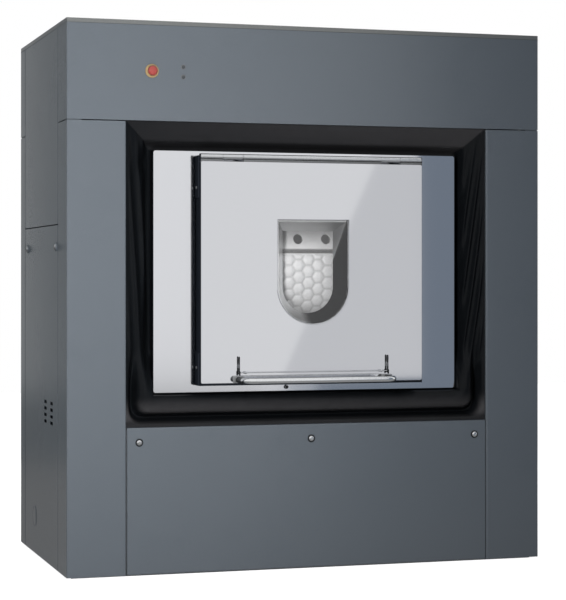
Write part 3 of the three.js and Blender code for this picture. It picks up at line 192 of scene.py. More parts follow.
class Finish:
    """The nodes of one material, or of the world."""

    def __init__(self, name, world=False):
        self.owner = (bpy.data.worlds if world else bpy.data.materials).new(name)
        self.output = "ShaderNodeOutputWorld" if world else "ShaderNodeOutputMaterial"
        self.owner.use_nodes = True
        self.tree = self.owner.node_tree
        self.tree.nodes.clear()

    def node(self, kind, settings=None, values=(), output=None):
        """A node with its settings made first, then its sockets given a value or a link."""
        made = self.tree.nodes.new(kind)
        for key, setting in (settings or {}).items():
            setattr(made, key, setting)
        for key, value in values.items() if isinstance(values, dict) else enumerate(values):
            if isinstance(value, Value):
                self.tree.links.new(value.socket, made.inputs[key])
            else:
                made.inputs[key].default_value = value
        return Value(self, made.outputs[output] if output else [s for s in made.outputs if s.enabled][0])

    def place(self):
        """Object coordinates, which are the washer's own."""
        return self.node("ShaderNodeTexCoord", output="Object")

    def along(self):
        """Object coordinates taken apart into x, y and z."""
        apart = self.node("ShaderNodeSeparateXYZ", values={"Vector": self.place()}).socket.node
        return [Value(self, apart.outputs[i]) for i in range(3)]

    def rays(self):
        """Whether a ray comes from the camera, from gloss or through glass."""
        path = self.node("ShaderNodeLightPath").socket.node
        return [Value(self, path.outputs[name]) for name in ("Is Camera Ray", "Is Glossy Ray", "Is Transmission Ray")]

    def noise(self, scale, detail=2.0, roughness=0.5, stretch=(1.0, 1.0, 1.0)):
        """Noise from 0 to 1, drawn out along an axis where its stretch is small."""
        place = self.node("ShaderNodeMapping", values={"Vector": self.place(), "Scale": stretch})
        values = {"Vector": place, "Scale": scale, "Detail": detail, "Roughness": roughness}
        return self.node("ShaderNodeTexNoise", values=values, output="Fac")

    def dull(self):
        """How much painted shade the mesh gives each point, from 0 to 1."""
        return self.node("ShaderNodeAttribute", {"attribute_name": "dull"}, output="Fac")

    def mix(self, factor, first, second):
        """One colour turning into another."""
        return self.node("ShaderNodeMix", {"data_type": "RGBA"}, {0: factor, 6: first, 7: second}, output="Result")

    def bump(self, height, distance, strength=1.0):
        """A normal tilted by a height."""
        return self.node("ShaderNodeBump", values={"Height": height, "Distance": distance, "Strength": strength})

    def surface(self, **sockets):
        """A Principled surface on the material's output."""
        names = {key.replace("_", " ").title().replace("Ior", "IOR"): value for key, value in sockets.items()}
        return self.show(self.node("ShaderNodeBsdfPrincipled", values=names))

    def show(self, shader):
        """Puts a shader on the output and gives back the material or world."""
        self.tree.links.new(shader.socket, self.tree.nodes.new(self.output).inputs["Surface"])
        return self.owner


def rgba(colour, gain=1.0):
    """A colour times a gain, kept to 1, with full alpha."""
    return (*[min(1.0, c * gain) for c in colour], 1.0)


FINISHES = {}
SHEET_GRAIN = (0.04, 1.0, 1.0)  # how far a grain is drawn out along x
DRUM_GRAIN = (0.06, 1.0, 1.0)
BAR_GRAIN = (0.1, 1.0, 1.0)
NO_GRAIN = (1.0, 1.0, 1.0)


def make_paint(name, colour):
    """Satin powder paint with a fine orange peel."""
    f = Finish(name)
    cloud, speck, peel = f.noise(3.0, 2.0), f.noise(900.0, 1.0), f.noise(420.0, 2.0)
    return f.surface(
        base_color=f.mix(cloud, rgba(colour, 0.97), rgba(colour, 1.03)),
        roughness=0.25 + cloud * 0.03 + speck * 0.03,
        metallic=0.34,
        normal=f.bump(peel, 0.00006, 0.35),
    )


def make_stainless(colour):
    """Smooth rolled sheet with a faint grain along x and slow clouds."""
    f = Finish("stainless_sheet")
    grain, cloud = f.noise(600.0, 2.0, stretch=SHEET_GRAIN), f.noise(2.2, 2.0)
    base = f.mix(grain, rgba(colour, 0.985), rgba(colour, 1.015))
    return f.surface(base_color=base, roughness=0.045 + cloud * 0.02 + grain * 0.01, metallic=1.0)


def make_face_steel(colour):
    """The tub's face: satin on its left and smoother towards its right, as seen from each side."""
    f = Finish("face_sheet")
    x, y, z = f.along()
    grain = f.noise(600.0, 2.0, stretch=SHEET_GRAIN)
    satin = 1 - (x * y / FACE_FRONT).within(-0.28, 0.30)
    base = f.mix(grain, rgba(colour, 1.055), rgba(colour, 1.085))
    return f.surface(base_color=base, roughness=0.05 + satin * 0.06 + grain * 0.01, metallic=1.0)


def make_clouded(name, low, high, noise, roughness, spread, stretch=NO_GRAIN, **more):
    """A surface in which one noise turns a colour into another and lifts the roughness."""
    f = Finish(name)
    cloud = f.noise(*noise, stretch=stretch)
    return f.surface(base_color=f.mix(cloud, low, high), roughness=roughness + cloud * spread, **more)


def make_bright_steel(name, colour, roughness):
    """Round bars and small fittings of steel."""
    tones = rgba(colour, 0.9), rgba(colour, 1.05)
    return make_clouded(name, *tones, (900.0, 1.0), roughness, 0.06, BAR_GRAIN, metallic=1.0)


def make_bar_steel():
    """The bow handle's bar: polished, with a darker band of painted shade along its upper edge."""
    f = Finish("bar_steel")
    x, y, z = f.along()
    grain = f.noise(900.0, 1.0, stretch=BAR_GRAIN)
    # Painted shade: a darker band along the bar's upper edge.
    upper = z.within(GRIP_LEVEL + 0.0062, GRIP_LEVEL + 0.0080)
    base = f.mix(upper, (0.74, 0.75, 0.76, 1.0), (0.34, 0.345, 0.35, 1.0))
    return f.surface(base_color=base, roughness=0.16 + grain * 0.06, metallic=1.0)


def make_funnel_steel():
    """The window's funnel, its light and shade painted on: bright on its left as a painted reflection, mid grey above,
    and dark on its right below a slanting edge as a painted shadow.
    """
    f = Finish("funnel_sheet")
    x, y, z = f.along()
    across = x * y / y.absolute() * -1.0
    grain = f.noise(600.0, 2.0, stretch=BAR_GRAIN)
    # The slanting edge of the painted shadow on the right wall.
    edge = 1.0242 - (0.1042 - across).at_most(0.0258) * 4.3
    painted_shadow = across.within(-0.030, 0.002) * (1 - (z - edge).within(-0.006, 0.006))
    # Painted reflection: near white in the middle, mid grey above and darker below.
    bright = f.mix(z.within(0.90, 1.00), (0.96, 0.97, 0.98, 1.0), (0.62, 0.625, 0.63, 1.0))
    bright = f.mix(1 - z.within(0.74, 0.80), bright, (0.32, 0.325, 0.33, 1.0))
    return f.surface(
        base_color=f.mix(painted_shadow, bright, (0.010, 0.0105, 0.012, 1.0)),
        roughness=0.32 + grain * 0.06 + painted_shadow * 0.48,
        metallic=1.0 - painted_shadow * 0.5,
    )


def make_drum_steel(colour):
    """Pressed drum sheet: a soft sheen with fine rolling grain, darkened by painted shade between the cells."""
    f = Finish("drum_sheet")
    grain, cloud = f.noise(700.0, 2.0, stretch=DRUM_GRAIN), f.noise(9.0, 2.0)
    base = f.mix(cloud, rgba(colour, 0.95), rgba(colour, 1.05))
    base = f.mix(f.dull(), base, rgba(colour, 0.74))
    return f.surface(base_color=base, roughness=0.26 + grain * 0.08 + cloud * 0.04, metallic=0.30)


def make_seam_steel(colour):
    """The flaps' set-in edges: painted shade darkens the middle of the seam, and they are as bright as the flaps at
    its edges.
    """
    f = Finish("seam_sheet")
    grain = f.noise(700.0, 2.0, stretch=DRUM_GRAIN)
    base = f.mix(f.dull(), rgba(colour, 0.74), rgba(colour, 0.24))
    return f.surface(base_color=base, roughness=0.36 + grain * 0.08, metallic=0.30)


def make_rubber(colour):
    """Moulded rubber: black, half gloss, with a soft grain. A painted sheen lightens it a little above the tub and
    more below.
    """
    f = Finish("moulded_rubber")
    x, y, z = f.along()
    cloud, grain = f.noise(45.0, 3.0, 0.6), f.noise(1500.0, 2.0)
    set_back = y.absolute().within(0.362, 0.386)
    from_top = (OPENING[3] - z) / (OPENING[3] - FACE[3])
    from_side = (OPENING[1] - x.absolute()) / (OPENING[1] - FACE[1])
    # Painted light: lighter above the tub, more towards its right, and lighter still on the roll below.
    above = z.within(1.20, 1.26) * (from_side - from_top).within(-0.04, 0.06)
    below = (1 - z.within(0.46, 0.52)) * set_back * (0.3 + z.within(0.440, 0.458) * 0.6)
    painted_sheen = below * 0.85 + above * (0.40 - x * y * 1.2)
    bare_rubber = f.mix(cloud, rgba(colour, 0.8), rgba(colour, 1.3))
    return f.surface(
        base_color=f.mix(painted_sheen * (0.8 + cloud * 0.3), bare_rubber, (0.040, 0.039, 0.041, 1.0)),
        roughness=0.30 + cloud * 0.10,
        specular_ior_level=0.085,
        normal=f.bump(grain, 0.00005, 0.3),
    )


def make_cast_iron(colour):
    """Sand-cast iron: matt and grainy."""
    f = Finish("cast_iron")
    sand, cloud = f.noise(380.0, 3.0), f.noise(14.0, 2.0)
    return f.surface(
        base_color=f.mix(cloud, rgba(colour, 0.75), rgba(colour, 1.3)),
        roughness=0.55 + sand * 0.2,
        metallic=0.6,
        normal=f.bump(sand, 0.0004, 0.5),
    )


def make_enamel(name, colour, roughness=0.35, gloss=0.5):
    """Moulded plastic or enamel with a slight unevenness of its gloss."""
    f = Finish(name)
    cloud, grain = f.noise(60.0, 2.0), f.noise(1100.0, 1.0)
    return f.surface(
        base_color=f.mix(cloud, rgba(colour, 0.93), rgba(colour, 1.07)),
        roughness=roughness + cloud * 0.08,
        specular_ior_level=gloss,
        normal=f.bump(grain, 0.00004, 0.25),
    )


def make_glass():
    """Clear flat glass: see-through, with a clean reflection that grows towards grazing."""
    f = Finish("window_glass")
    clear = f.node("ShaderNodeBsdfTransparent", values={"Color": (0.97, 0.97, 0.97, 1.0)})
    gloss = f.node("ShaderNodeBsdfGlossy", values={"Color": (1.0, 1.0, 1.0, 1.0), "Roughness": 0.01})
    facing = f.node("ShaderNodeFresnel", values={"IOR": 1.52})
    return f.show(f.node("ShaderNodeMixShader", values=[(facing * 0.8).at_most(0.9), clear, gloss]))


def make_screen():
    """A dark screen with a plain layout, without lettering: a bar above and three rows of five tiles."""
    f = Finish("display_face")
    x, y, z = f.along()
    across = x + (DISPLAY[0] + DISPLAY[1]) / 2
    up = z - (DISPLAY[2] + DISPLAY[3]) / 2
    column = ((across + 0.094) / 0.038).fraction()
    row = ((up + 0.044) / 0.027).fraction()
    tile = column.within(0.08, 0.11) * (1 - column.within(0.86, 0.89))
    tile = tile * row.within(0.12, 0.16) * (1 - row.within(0.80, 0.84))
    field = (1 - across.absolute().within(0.0935, 0.094)) * (1 - up.within(0.036, 0.0363)) * up.within(-0.0445, -0.044)
    tone = f.noise(14.0, 0.0, stretch=(1.9, 1.0, 2.6)).within(0.4, 0.6)
    tiles = f.mix(tone, (0.03, 0.16, 0.30, 1), (0.10, 0.38, 0.30, 1))
    glow = f.mix(tile * field, (0.004, 0.007, 0.011, 1), tiles)
    glow = f.mix(up.within(0.0405, 0.0410), glow, (0.10, 0.19, 0.28, 1))
    return f.surface(base_color=(0.006, 0.008, 0.010, 1), roughness=0.07, emission_color=glow, emission_strength=0.8)


def make_finishes(colours):
    """The finish of each material slot of the record, and those that only the new pieces use."""
    lid = tuple(c * gain for c, gain in zip(colours.paint, (1.30, 1.18, 1.02)))
    frame_tones = rgba(colours.frame_steel, 0.8), rgba(colours.frame_steel, 1.2)
    spring_tones = (0.03, 0.032, 0.036, 1), (0.07, 0.072, 0.078, 1)
    lens_tones = (0.014, 0.017, 0.020, 1), (0.030, 0.034, 0.038, 1)
    FINISHES.update(
        paint=make_paint("satin_paint", colours.paint),
        lid_paint=make_paint("lid_paint", lid),
        stainless=make_stainless(colours.stainless),
        face_steel=make_face_steel(colours.stainless),
        bright_steel=make_bright_steel("polished_steel", (0.66, 0.67, 0.68), 0.12),
        satin_steel=make_bright_steel("satin_steel", (0.60, 0.61, 0.625), 0.22),
        plate_steel=make_bright_steel("plate_steel", (0.44, 0.45, 0.46), 0.50),
        matt_steel=make_bright_steel("matt_steel", (0.70, 0.71, 0.73), 0.50),
        dull_steel=make_bright_steel("dull_steel", (0.30, 0.31, 0.32), 0.36),
        bar_steel=make_bar_steel(),
        funnel_steel=make_funnel_steel(),
        drum_steel=make_drum_steel(colours.drum),
        seam_steel=make_seam_steel(colours.drum),
        bellows_rubber=make_rubber(colours.rubber),
        frame_steel=make_clouded("coated_frame_steel", *frame_tones, (12.0, 3.0), 0.45, 0.12, metallic=0.4),
        spring_steel=make_clouded("spring_wire", *spring_tones, (30.0, 2.0), 0.32, 0.15, metallic=0.8),
        lamp_lens=make_clouded("lamp_lens", *lens_tones, (300.0, 1.0), 0.12, 0.05, coat_weight=0.5),
        cast_iron=make_cast_iron(colours.cast_iron),
        glass=make_glass(),
        screen=make_screen(),
        motor_paint=make_enamel("motor_enamel", colours.motor, 0.4),
        black_plastic=make_enamel("black_plastic", colours.black, 0.38, 0.22),
        strip_black=make_enamel("strip_black", (0.011, 0.013, 0.017), 0.5, 0.0),
        shade_line=make_enamel("shade_line", (0.040, 0.044, 0.048), 0.6, 0.2),
        gap_grey=make_enamel("gap_grey", (0.085, 0.087, 0.090), 0.5, 0.3),
        latch_steel=make_enamel("latch_coat", (0.03, 0.031, 0.033), 0.3),
        stop_red=make_enamel("stop_red", colours.stop_red, 0.3),
        stop_yellow=make_enamel("stop_yellow", colours.stop_yellow, 0.4),
        start_green=make_enamel("start_green", colours.start_green, 0.3),
    )


# Surfaces as numpy arrays


def smooth(share):
    """0 at 0, 1 at 1 and level at both ends: 3 s squared minus 2 s cubed."""
    share = np.clip(share, 0.0, 1.0)
    return share * share * (3 - 2 * share)


def curve_through(points, count):
    """A smooth curve through points, by Catmull and Rom's rule on each span, as count rows."""
    points = np.asarray(points, float)
    ends = np.vstack([2 * points[0] - points[1], points, 2 * points[-1] - points[-2]])
    t = np.linspace(0, len(points) - 1, count)
    i = np.minimum(t.astype(int), len(points) - 2)
    t = (t - i)[:, None]
    a, b, c, d = (ends[i + k] for k in range(4))
    return 0.5 * (2 * b + (c - a) * t + (2 * a - 5 * b + 4 * c - d) * t**2 + (3 * b - a - 3 * c + d) * t**3)


def circle(radius, count, start=0.0):
    """Points (cos, sin) times a radius, evenly round a circle."""
    angle = start + np.arange(count) * 2 * np.pi / count
    return radius * np.stack([np.cos(angle), np.sin(angle)], 1)


def rounded_rectangle(left, right, bottom, top, radius, steps=8):
    """Four quarter circles joined by straight sides, anticlockwise from the lower right corner."""
    quarter = np.linspace(0, np.pi / 2, steps + 1)
    left, right, bottom, top = left + radius, right - radius, bottom + radius, top - radius
    arcs = []
    for u, v, half_turns in ((right, bottom, -0.5), (right, top, 0.0), (left, top, 0.5), (left, bottom, 1.0)):
        angle = half_turns * np.pi + quarter
        arcs.append(np.stack([u + radius * np.cos(angle), v + radius * np.sin(angle)], 1))
    return np.concatenate(arcs)


def window_outline(inset, steps=48):
    """The window drawn in by an inset: a half circle below, straight sides and a flat top."""
    radius = WINDOW_HALF_WIDTH - inset
    angle = np.linspace(np.pi, 2 * np.pi, steps + 1)
    bow = np.stack([radius * np.cos(angle), WINDOW_CENTRE_Z + radius * np.sin(angle)], 1)
    top = WINDOW_TOP - inset
    rise = np.linspace(WINDOW_CENTRE_Z, top, 9)[1:, None]
    over = np.linspace(radius, -radius, 13)[1:, None]
    right = np.hstack([np.full_like(rise, radius), rise])
    across = np.hstack([over, np.full_like(over, top)])
    left = np.hstack([np.full_like(rise, -radius), rise[::-1]])[1:]
    return np.vstack([bow, right, across, left])


def standing(outline, axis, place):
    """An outline's points in space, square to an axis at a place along it."""
    u, v = outline[:, 0], outline[:, 1]
    level = np.full(len(outline), place)
    return np.stack({"x": (level, u, v), "y": (u, level, v), "z": (u, v, level)}[axis], 1)


def outward(base, steps, sign=-1.0):
    """Steps of (how far out, radius) in millimetres as (place, radius) in metres."""
    return [(base + sign * out * MM, radius * MM) for out, radius in steps]


def turned(axis, profile, centre, segments=32):
    """A profile of (place, radius) carried round a line along x through (y, z), or along y through (x, z)."""
    place, radius = np.asarray(profile, float).T[:, :, None]
    ring = circle(1.0, segments)
    u, v = centre[0] + radius * ring[:, 0], centre[1] + radius * ring[:, 1]
    place = np.broadcast_to(place, u.shape)
    return np.stack((place, u, v) if axis == "x" else (u, place, v), 2)


def swept(path, radius, segments):
    """A circle carried along a path. Each ring stands upright and square to the path as seen from above."""
    path = np.asarray(path, float)
    ahead = np.gradient(path, axis=0)
    ahead /= np.linalg.norm(ahead, axis=1)[:, None]
    up = np.array([0.0, 0.0, 1.0])
    ring = circle(radius, segments)
    return path[:, None] + np.cross(ahead, up)[:, None] * ring[None, :, :1] + up * ring[None, :, 1:]


def slab(outline, axis, span, bevel=0.0006, steps=3):
    """An outline carried from one place to another with rounded edges. Each ring near an end is drawn in."""
    outline = np.asarray(outline, float)
    ahead = np.roll(outline, -1, 0) - outline
    ahead /= np.linalg.norm(ahead, axis=1)[:, None]
    tangent = ahead + np.roll(ahead, 1, 0)
    tangent /= np.linalg.norm(tangent, axis=1)[:, None]
    out = np.stack([tangent[:, 1], -tangent[:, 0]], 1)
    turn = np.linspace(0, np.pi / 2, steps + 1)
    drawn, deep = bevel * (1 - np.sin(turn)), bevel * (1 - np.cos(turn))
    insets = np.concatenate([drawn, drawn[::-1]])
    places = np.concatenate([span[0] + deep, span[1] - deep[::-1]])
    return np.array([standing(outline - out * inset, axis, place) for inset, place in zip(insets, places)])


def linked(name, data):
    """A new object in the scene."""
    made = bpy.data.objects.new(name, data)
    bpy.context.scene.collection.objects.link(made)
    return made


class Piece:
    """Grids of points that become one mesh."""

    def __init__(self, name):
        self.name = name
        self.points, self.faces, self.dullness = [], [], []
        self.count = 0

    def grid(self, points, closed_rows=False, closed_columns=False, flip=False, dull=0.0):
        """Quads between neighbouring rows and columns of a grid, with a painted shade from 0 to 1 for each point."""
        points = np.asarray(points, float)
        rows, columns = points.shape[:2]
        self.dullness.append(np.broadcast_to(dull, (rows, columns)).reshape(-1))
        index = np.arange(rows * columns).reshape(rows, columns) + self.count
        if closed_rows:
            index = np.vstack([index, index[:1]])
        if closed_columns:
            index = np.hstack([index, index[:, :1]])
        quads = np.stack([index[:-1, :-1], index[:-1, 1:], index[1:, 1:], index[1:, :-1]], 2).reshape(-1, 4)
        self.faces.append(quads[:, ::-1] if flip else quads)
        self.points.append(points.reshape(-1, 3))
        self.count += rows * columns
        return self

    def tube(self, rings, **more):
        """Closed rings in a row."""
        return self.grid(rings, closed_columns=True, **more)

    def solid(self, rings):
        """Closed rings in a row, with a pole in the middle of each end."""
        rings = np.asarray(rings, float)
        centres = [np.repeat(rings[k].mean(0)[None], rings.shape[1], 0) for k in (0, -1)]
        return self.tube(np.concatenate([centres[0][None], rings, centres[1][None]]))

    def make(self, slot, side_name="front", closed=False, smooth_angle=35.0, finish=None):
        """The mesh object, turned half round for the loading side, with the finish that its record slot names unless
        another is given.
        """
        side = SIDES[side_name]
        points = np.concatenate(self.points) * (side, side, 1.0)
        mesh = bpy.data.meshes.new(self.name)
        mesh.from_pydata(points.tolist(), [], np.concatenate(self.faces).tolist())
        dullness = np.concatenate(self.dullness)
        if dullness.any():
            mesh.attributes.new("dull", "FLOAT", "POINT").data.foreach_set("value", dullness)
        work = bmesh.new()
        work.from_mesh(mesh)
        bmesh.ops.remove_doubles(work, verts=work.verts, dist=1e-6)
        bmesh.ops.dissolve_degenerate(work, edges=work.edges, dist=1e-7)
        if closed:
            bmesh.ops.recalc_face_normals(work, faces=work.faces)
        work.to_mesh(mesh)
        work.free()
        mesh.shade_smooth()
        mesh.set_sharp_from_angle(angle=math.radians(smooth_angle))
        mesh.materials.append(FINISHES[finish or slot])
        made = linked(self.name, mesh)
        return made


# Bellows. The slack and the roll give the depth for each share of the way from the casing to the tub.

SLACK = [(0, 0), (0.06, 0.002), (0.25, 0.010), (0.5, 0.022), (0.66, 0.032), (0.75, 0.052), (0.85, 0.069), (1, 0.074)]
ROLL = [(0, 0), (0.05, 0.0015), (0.12, 0.008), (0.19, 0.030), (0.27, 0.044), (0.35, 0.030)]
ROLL += [(0.43, 0.010), (0.56, -0.001), (0.70, -0.004), (0.84, 0.003), (0.94, 0.016), (1, 0.036)]
PROFILE_STEPS = 240
BELLOWS_FRONT = -0.392
BELLOWS_GAP = 0.0006
TUCK_DEPTH = 0.066
TUCK_START = 0.93
ALONG_STEPS, ACROSS_STEPS = 110, 56
CROWDING = 0.11  # how much closer the steps stand at the mitres
LOW_CORNERS = 0.45  # over how much of a share the lower corners are rounded
ROLL_FADE = 0.14  # height above the tub's lower edge over which the roll turns into the slack
CREASES = {"left": (0.070, 0.034), "right": (0.125, 0.0225)}  # slant and pitch
PIT = (-0.500, 1.195)
PIT_SIZE = (0.013, 0.030, 0.016)  # across, up and deep
SAG = 0.004
BLEND_LEVEL = 0.9
# Corners of each sheet as places in OPENING and FACE. The sheets stand in the order of left, right, bottom, top.
SHEET_ENDS = {"left": ((0, 2), (0, 3)), "right": ((1, 3), (1, 2)), "bottom": ((1, 2), (0, 2)), "top": ((0, 3), (1, 3))}


def bellows_edges(part):
    """Matching points on the casing's edge and the tub's edge for one side, mitre to mitre."""
    share = np.linspace(0, 1, ALONG_STEPS + 1)
    share = share - CROWDING * np.sin(2 * np.pi * share)
    lines = []
    for box, gap in ((OPENING, BELLOWS_GAP), (FACE, -BELLOWS_GAP)):
        edge = np.array(box) + (gap, -gap, gap, -gap)
        start, end = (edge[list(corner)] for corner in SHEET_ENDS[part])
        lines.append(start + (end - start) * share[:, None])
    return (*lines, share)


def rounded_least(a, b, radius):
    """The lesser of two numbers, rounded off where they are nearly equal."""
    near = np.clip(1 - np.abs(a - b) / radius, 0, None)
    return np.minimum(a, b) - near**2 * radius / 4


def bellows_sheet(part, crease):
    """The rubber sheet of one side.

    The share of the way from the casing to the tub is the least of the shares of the four sides, with its
    corners rounded along the bottom. The depth follows it by the slack profile, or by the roll low down.
    Slanting creases are a narrow periodic wave of the distance from the casing plus a share of the height.
    The last few millimetres tuck in behind the tub's face."""
    outer, inner, along = bellows_edges(part)
    across = np.linspace(0, 1, ACROSS_STEPS)[None, :]
    x, z = (outer[:, k, None] + (inner - outer)[:, k, None] * across for k in (0, 1))
    left, right, bottom, top = ((at - OPENING[k]) / (FACE[k] - OPENING[k]) for k, at in enumerate((x, x, z, z)))
    share = rounded_least(np.minimum(left, right), bottom, LOW_CORNERS)
    share = np.clip(np.minimum(share, top), 0, 1)
    slack, roll = (np.interp(share, *curve_through(points, PROFILE_STEPS).T) for points in (SLACK, ROLL))
    turn = 1 - smooth((z - FACE[2]) / ROLL_FADE)
    deep = slack + (roll - slack) * turn
    free = np.sin(np.pi * along)[:, None] ** 0.5
    envelope = smooth(across / 0.22) * smooth((0.97 - across) / 0.25)
    if part in CREASES:
        slant, pitch = CREASES[part]
        wave = 0.5 * np.cos(2 * np.pi * (np.abs(x - outer[:, :1]) + slant * (z - OPENING[3])) / pitch)
        folds = 0.5 * (0.5 - wave) ** 2 - (0.5 + wave) ** 3
        deep = deep + crease * folds * envelope * free * (1 - turn)
    if part == "left":
        wide, tall, pulled = PIT_SIZE
        deep = deep + pulled * np.exp(-(((x - PIT[0]) / wide) ** 2) - ((z - PIT[1]) / tall) ** 2) * envelope
    deep = deep + SAG * np.sin(5.3 * x + 1.0) * np.sin(9.1 * z + 0.4) * envelope * free
    deep = deep + (TUCK_DEPTH - deep) * smooth((across - TUCK_START) / (1 - TUCK_START))
    return np.stack([x, BELLOWS_FRONT + deep, z], 2)


def make_bellows(side_name, sizes):
    """Four mitred sheets that stand for the bellows, from the casing to the tub."""
    side = SIDES[side_name]
    for k, part in enumerate(SHEET_ENDS):
        front = bellows_sheet(part, sizes.crease_height)
        back = front + (0.0, sizes.rubber_sheet, 0.0)
        piece = Piece(f"{side_name}_bellows_{part}").tube(np.concatenate([front, back[:, ::-1]], 1))
        for end in (0, -1):
            piece.grid(np.stack([front[end], back[end]]))
        made = piece.make("bellows_rubber", side_name, closed=True, smooth_angle=60)
        if part in CREASES:
            start, end = (OPENING[k] * side, 0, BLEND_LEVEL), (FACE[k] * side, 0, BLEND_LEVEL)
        else:
            start, end = (0, BELLOWS_FRONT * side, OPENING[k]), (0, BELLOWS_FRONT * side, FACE[k])
        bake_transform(made)
        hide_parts(f"{side_name}_bellows")


def make_face_lip(side_name):
    """A rubber lip round the edge of the tub's face, where the bellows tucks in."""
    left, right, bottom, top = FACE
    rings = []
    for out, y in ((0.0003, -0.3612), (0.0016, -0.3616), (0.0024, -0.3606), (0.0024, -0.332), (0.0003, -0.332)):
        rings.append(standing(rounded_rectangle(left - out, right + out, bottom - out, top + out, 0.0026, 4), "y", y))
    piece = Piece(f"{side_name}_face_lip").tube(rings, closed_rows=True)
    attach(piece.make("bellows_rubber", side_name, closed=True), "tub_unit")


# Drum

CELL_SHIFT = (-0.0094, -0.0157)
GROOVE_START, GROOVE_WIDTH = 0.74, 0.22  # in shares of the way from a cell's middle to its side
# Painted shade that darkens the upper flap's plain band a little.
BAND_PAINTED_SHADE = 0.1
SKIN_GAP = 0.0004
FLAP_STEP, SHELL_STEP, END_STEP = 0.0026, 0.0052, 0.0045
HOLE_PLACES = (-0.095, -0.007, 0.081)
HOLE_RADIUS = 0.015
HOLE_LEVEL = 0.098
HOLE_PATCH = 0.044
JOG_ANGLES = (SEAM_ANGLE - 0.008 / DRUM_RADIUS, SEAM_ANGLE + 0.008 / DRUM_RADIUS)
BAND_ANGLES = (JOG_ANGLES[1] + 0.001 / DRUM_RADIUS, JOG_ANGLES[1] + 0.058 / DRUM_RADIUS)
HINGE_EDGE_ANGLE = WAY_IN_ANGLE - 0.004 / DRUM_RADIUS
FLAP_SKIN = (-FLAP_HALF_LENGTH + 0.001, FLAP_HALF_LENGTH - 0.001)
SHELL_GAP = 0.004
SPRINGS = (
    ("front_left_spring", -0.430, -0.245),
    ("front_right_spring", 0.430, -0.245),
    ("rear_left_spring", -0.430, 0.245),
    ("rear_right_spring", 0.430, 0.245),
)
SPRING_SPAN = (0.0876, 0.3924)  # middle of the wire in the lowest and the highest turn
SPRING_TURNS = 5.0
SPRING_RADIUS, SPRING_WIRE = 0.046, 0.007


def cell_relief(x, s, across, height):
    """Domed six-sided cells. The height falls with the largest of the three distances to a cell's sides."""
    apothem = across / 2
    pitch = across * math.sqrt(3) / 2
    nearest = 1.0
    for shift in (-1, 0, 1):
        column = np.round(x / pitch) + shift
        offset = np.where(np.mod(column, 2) == 0, 0.0, apothem)
        centre_s = np.round((s - offset) / across) * across + offset
        dx, ds = np.abs(x - column * pitch), np.abs(s - centre_s)
        nearest = np.minimum(nearest, np.maximum(ds, dx * math.sqrt(3) / 2 + ds / 2) / apothem)
    # The second value is painted shade, which darkens the groove round each cell.
    return height * (1 - nearest**3.0), smooth((nearest - GROOVE_START) / GROOVE_WIDTH)


def drum_point(x, angle, radius):
    """A point on the drum. The angle rises from the unloading side."""
    return np.stack([x, -radius * np.cos(angle), DRUM_AXIS_Z + radius * np.sin(angle)], -1)


def cell_sheet(x_span, angles, step, sizes, margins):
    """A grid just outside the drum, with its painted shade, whose domed cells fade out at its margins."""
    nx = max(2, int(round((x_span[1] - x_span[0]) / step)))
    na = max(2, int(round((angles[1] - angles[0]) * DRUM_RADIUS / step)))
    x, angle = np.meshgrid(np.linspace(*x_span, nx + 1), np.linspace(*angles, na + 1))
    s = angle * DRUM_RADIUS
    relief, groove = cell_relief(x - CELL_SHIFT[0], s - CELL_SHIFT[1], sizes.cell_across, sizes.cell_height)
    fade = smooth((x - x_span[0]) / margins[0]) * smooth((x_span[1] - x) / margins[0])
    fade = fade * smooth((s - s.min()) / margins[1] + 0.02) * smooth((s.max() - s) / margins[1] + 0.02)
    return {"points": drum_point(x, angle, DRUM_RADIUS + SKIN_GAP + relief * fade), "dull": groove * fade}


def holed_patch(x_span, angles, hole_x, rings=7, per_side=14):
    """A rectangle of the band with a round hole. Each row runs from the hole's edge out to the rectangle."""
    u = np.linspace(-1, 1, per_side, endpoint=False)
    one = np.ones_like(u)
    square = np.concatenate([np.stack(side, 1) for side in ((one, u), (-u, one), (-one, -u), (u, -one))])
    spans = np.array([x_span, angles])
    outer = spans.mean(1) + square * (spans[:, 1] - spans[:, 0]) / 2
    level = math.asin(HOLE_LEVEL / DRUM_RADIUS)
    direction = np.stack([outer[:, 0] - hole_x, (outer[:, 1] - level) * DRUM_RADIUS], 1)
    direction /= np.linalg.norm(direction, axis=1)[:, None]
    edge_x = hole_x + HOLE_RADIUS * direction[:, 0]
    edge_z = HOLE_LEVEL + HOLE_RADIUS * direction[:, 1]
    edge = np.stack([edge_x, np.arcsin(edge_z / DRUM_RADIUS)], 1)
    t = np.linspace(0, 1, rings)[:, None, None] ** 1.5
    flat = edge + (outer - edge) * t
    radius = DRUM_RADIUS + SKIN_GAP
    front = -np.sqrt(radius**2 - edge_z**2)
    rolled_in = [np.stack([edge_x, front + behind, DRUM_AXIS_Z + edge_z], 1) for behind in (0.0035, 0.0006)]
    return np.concatenate([rolled_in, drum_point(flat[..., 0], flat[..., 1], radius)])


def make_upper_flap_skin(sizes):
    """The upper flap's face: a plain band with three finger holes, and cells above it."""
    above = (BAND_ANGLES[1], HINGE_EDGE_ANGLE)
    piece = Piece("upper_flap_cells").grid(**cell_sheet(FLAP_SKIN, above, FLAP_STEP, sizes, (0.010, 0.010)))
    plain = ((FLAP_SKIN[0], HOLE_PLACES[0] - HOLE_PATCH), (HOLE_PLACES[-1] + HOLE_PATCH, FLAP_SKIN[1]))
    for span in plain:
        x, angle = np.meshgrid(np.linspace(*span, 41), np.linspace(*BAND_ANGLES, 15))
        piece.grid(drum_point(x, angle, DRUM_RADIUS + SKIN_GAP), dull=BAND_PAINTED_SHADE)
    for hole_x in HOLE_PLACES:
        patch = holed_patch((hole_x - HOLE_PATCH, hole_x + HOLE_PATCH), BAND_ANGLES, hole_x)
        piece.tube(patch, flip=True, dull=BAND_PAINTED_SHADE)
    made = piece.make("drum_steel", smooth_angle=50)
    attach(made, "upper_flap")


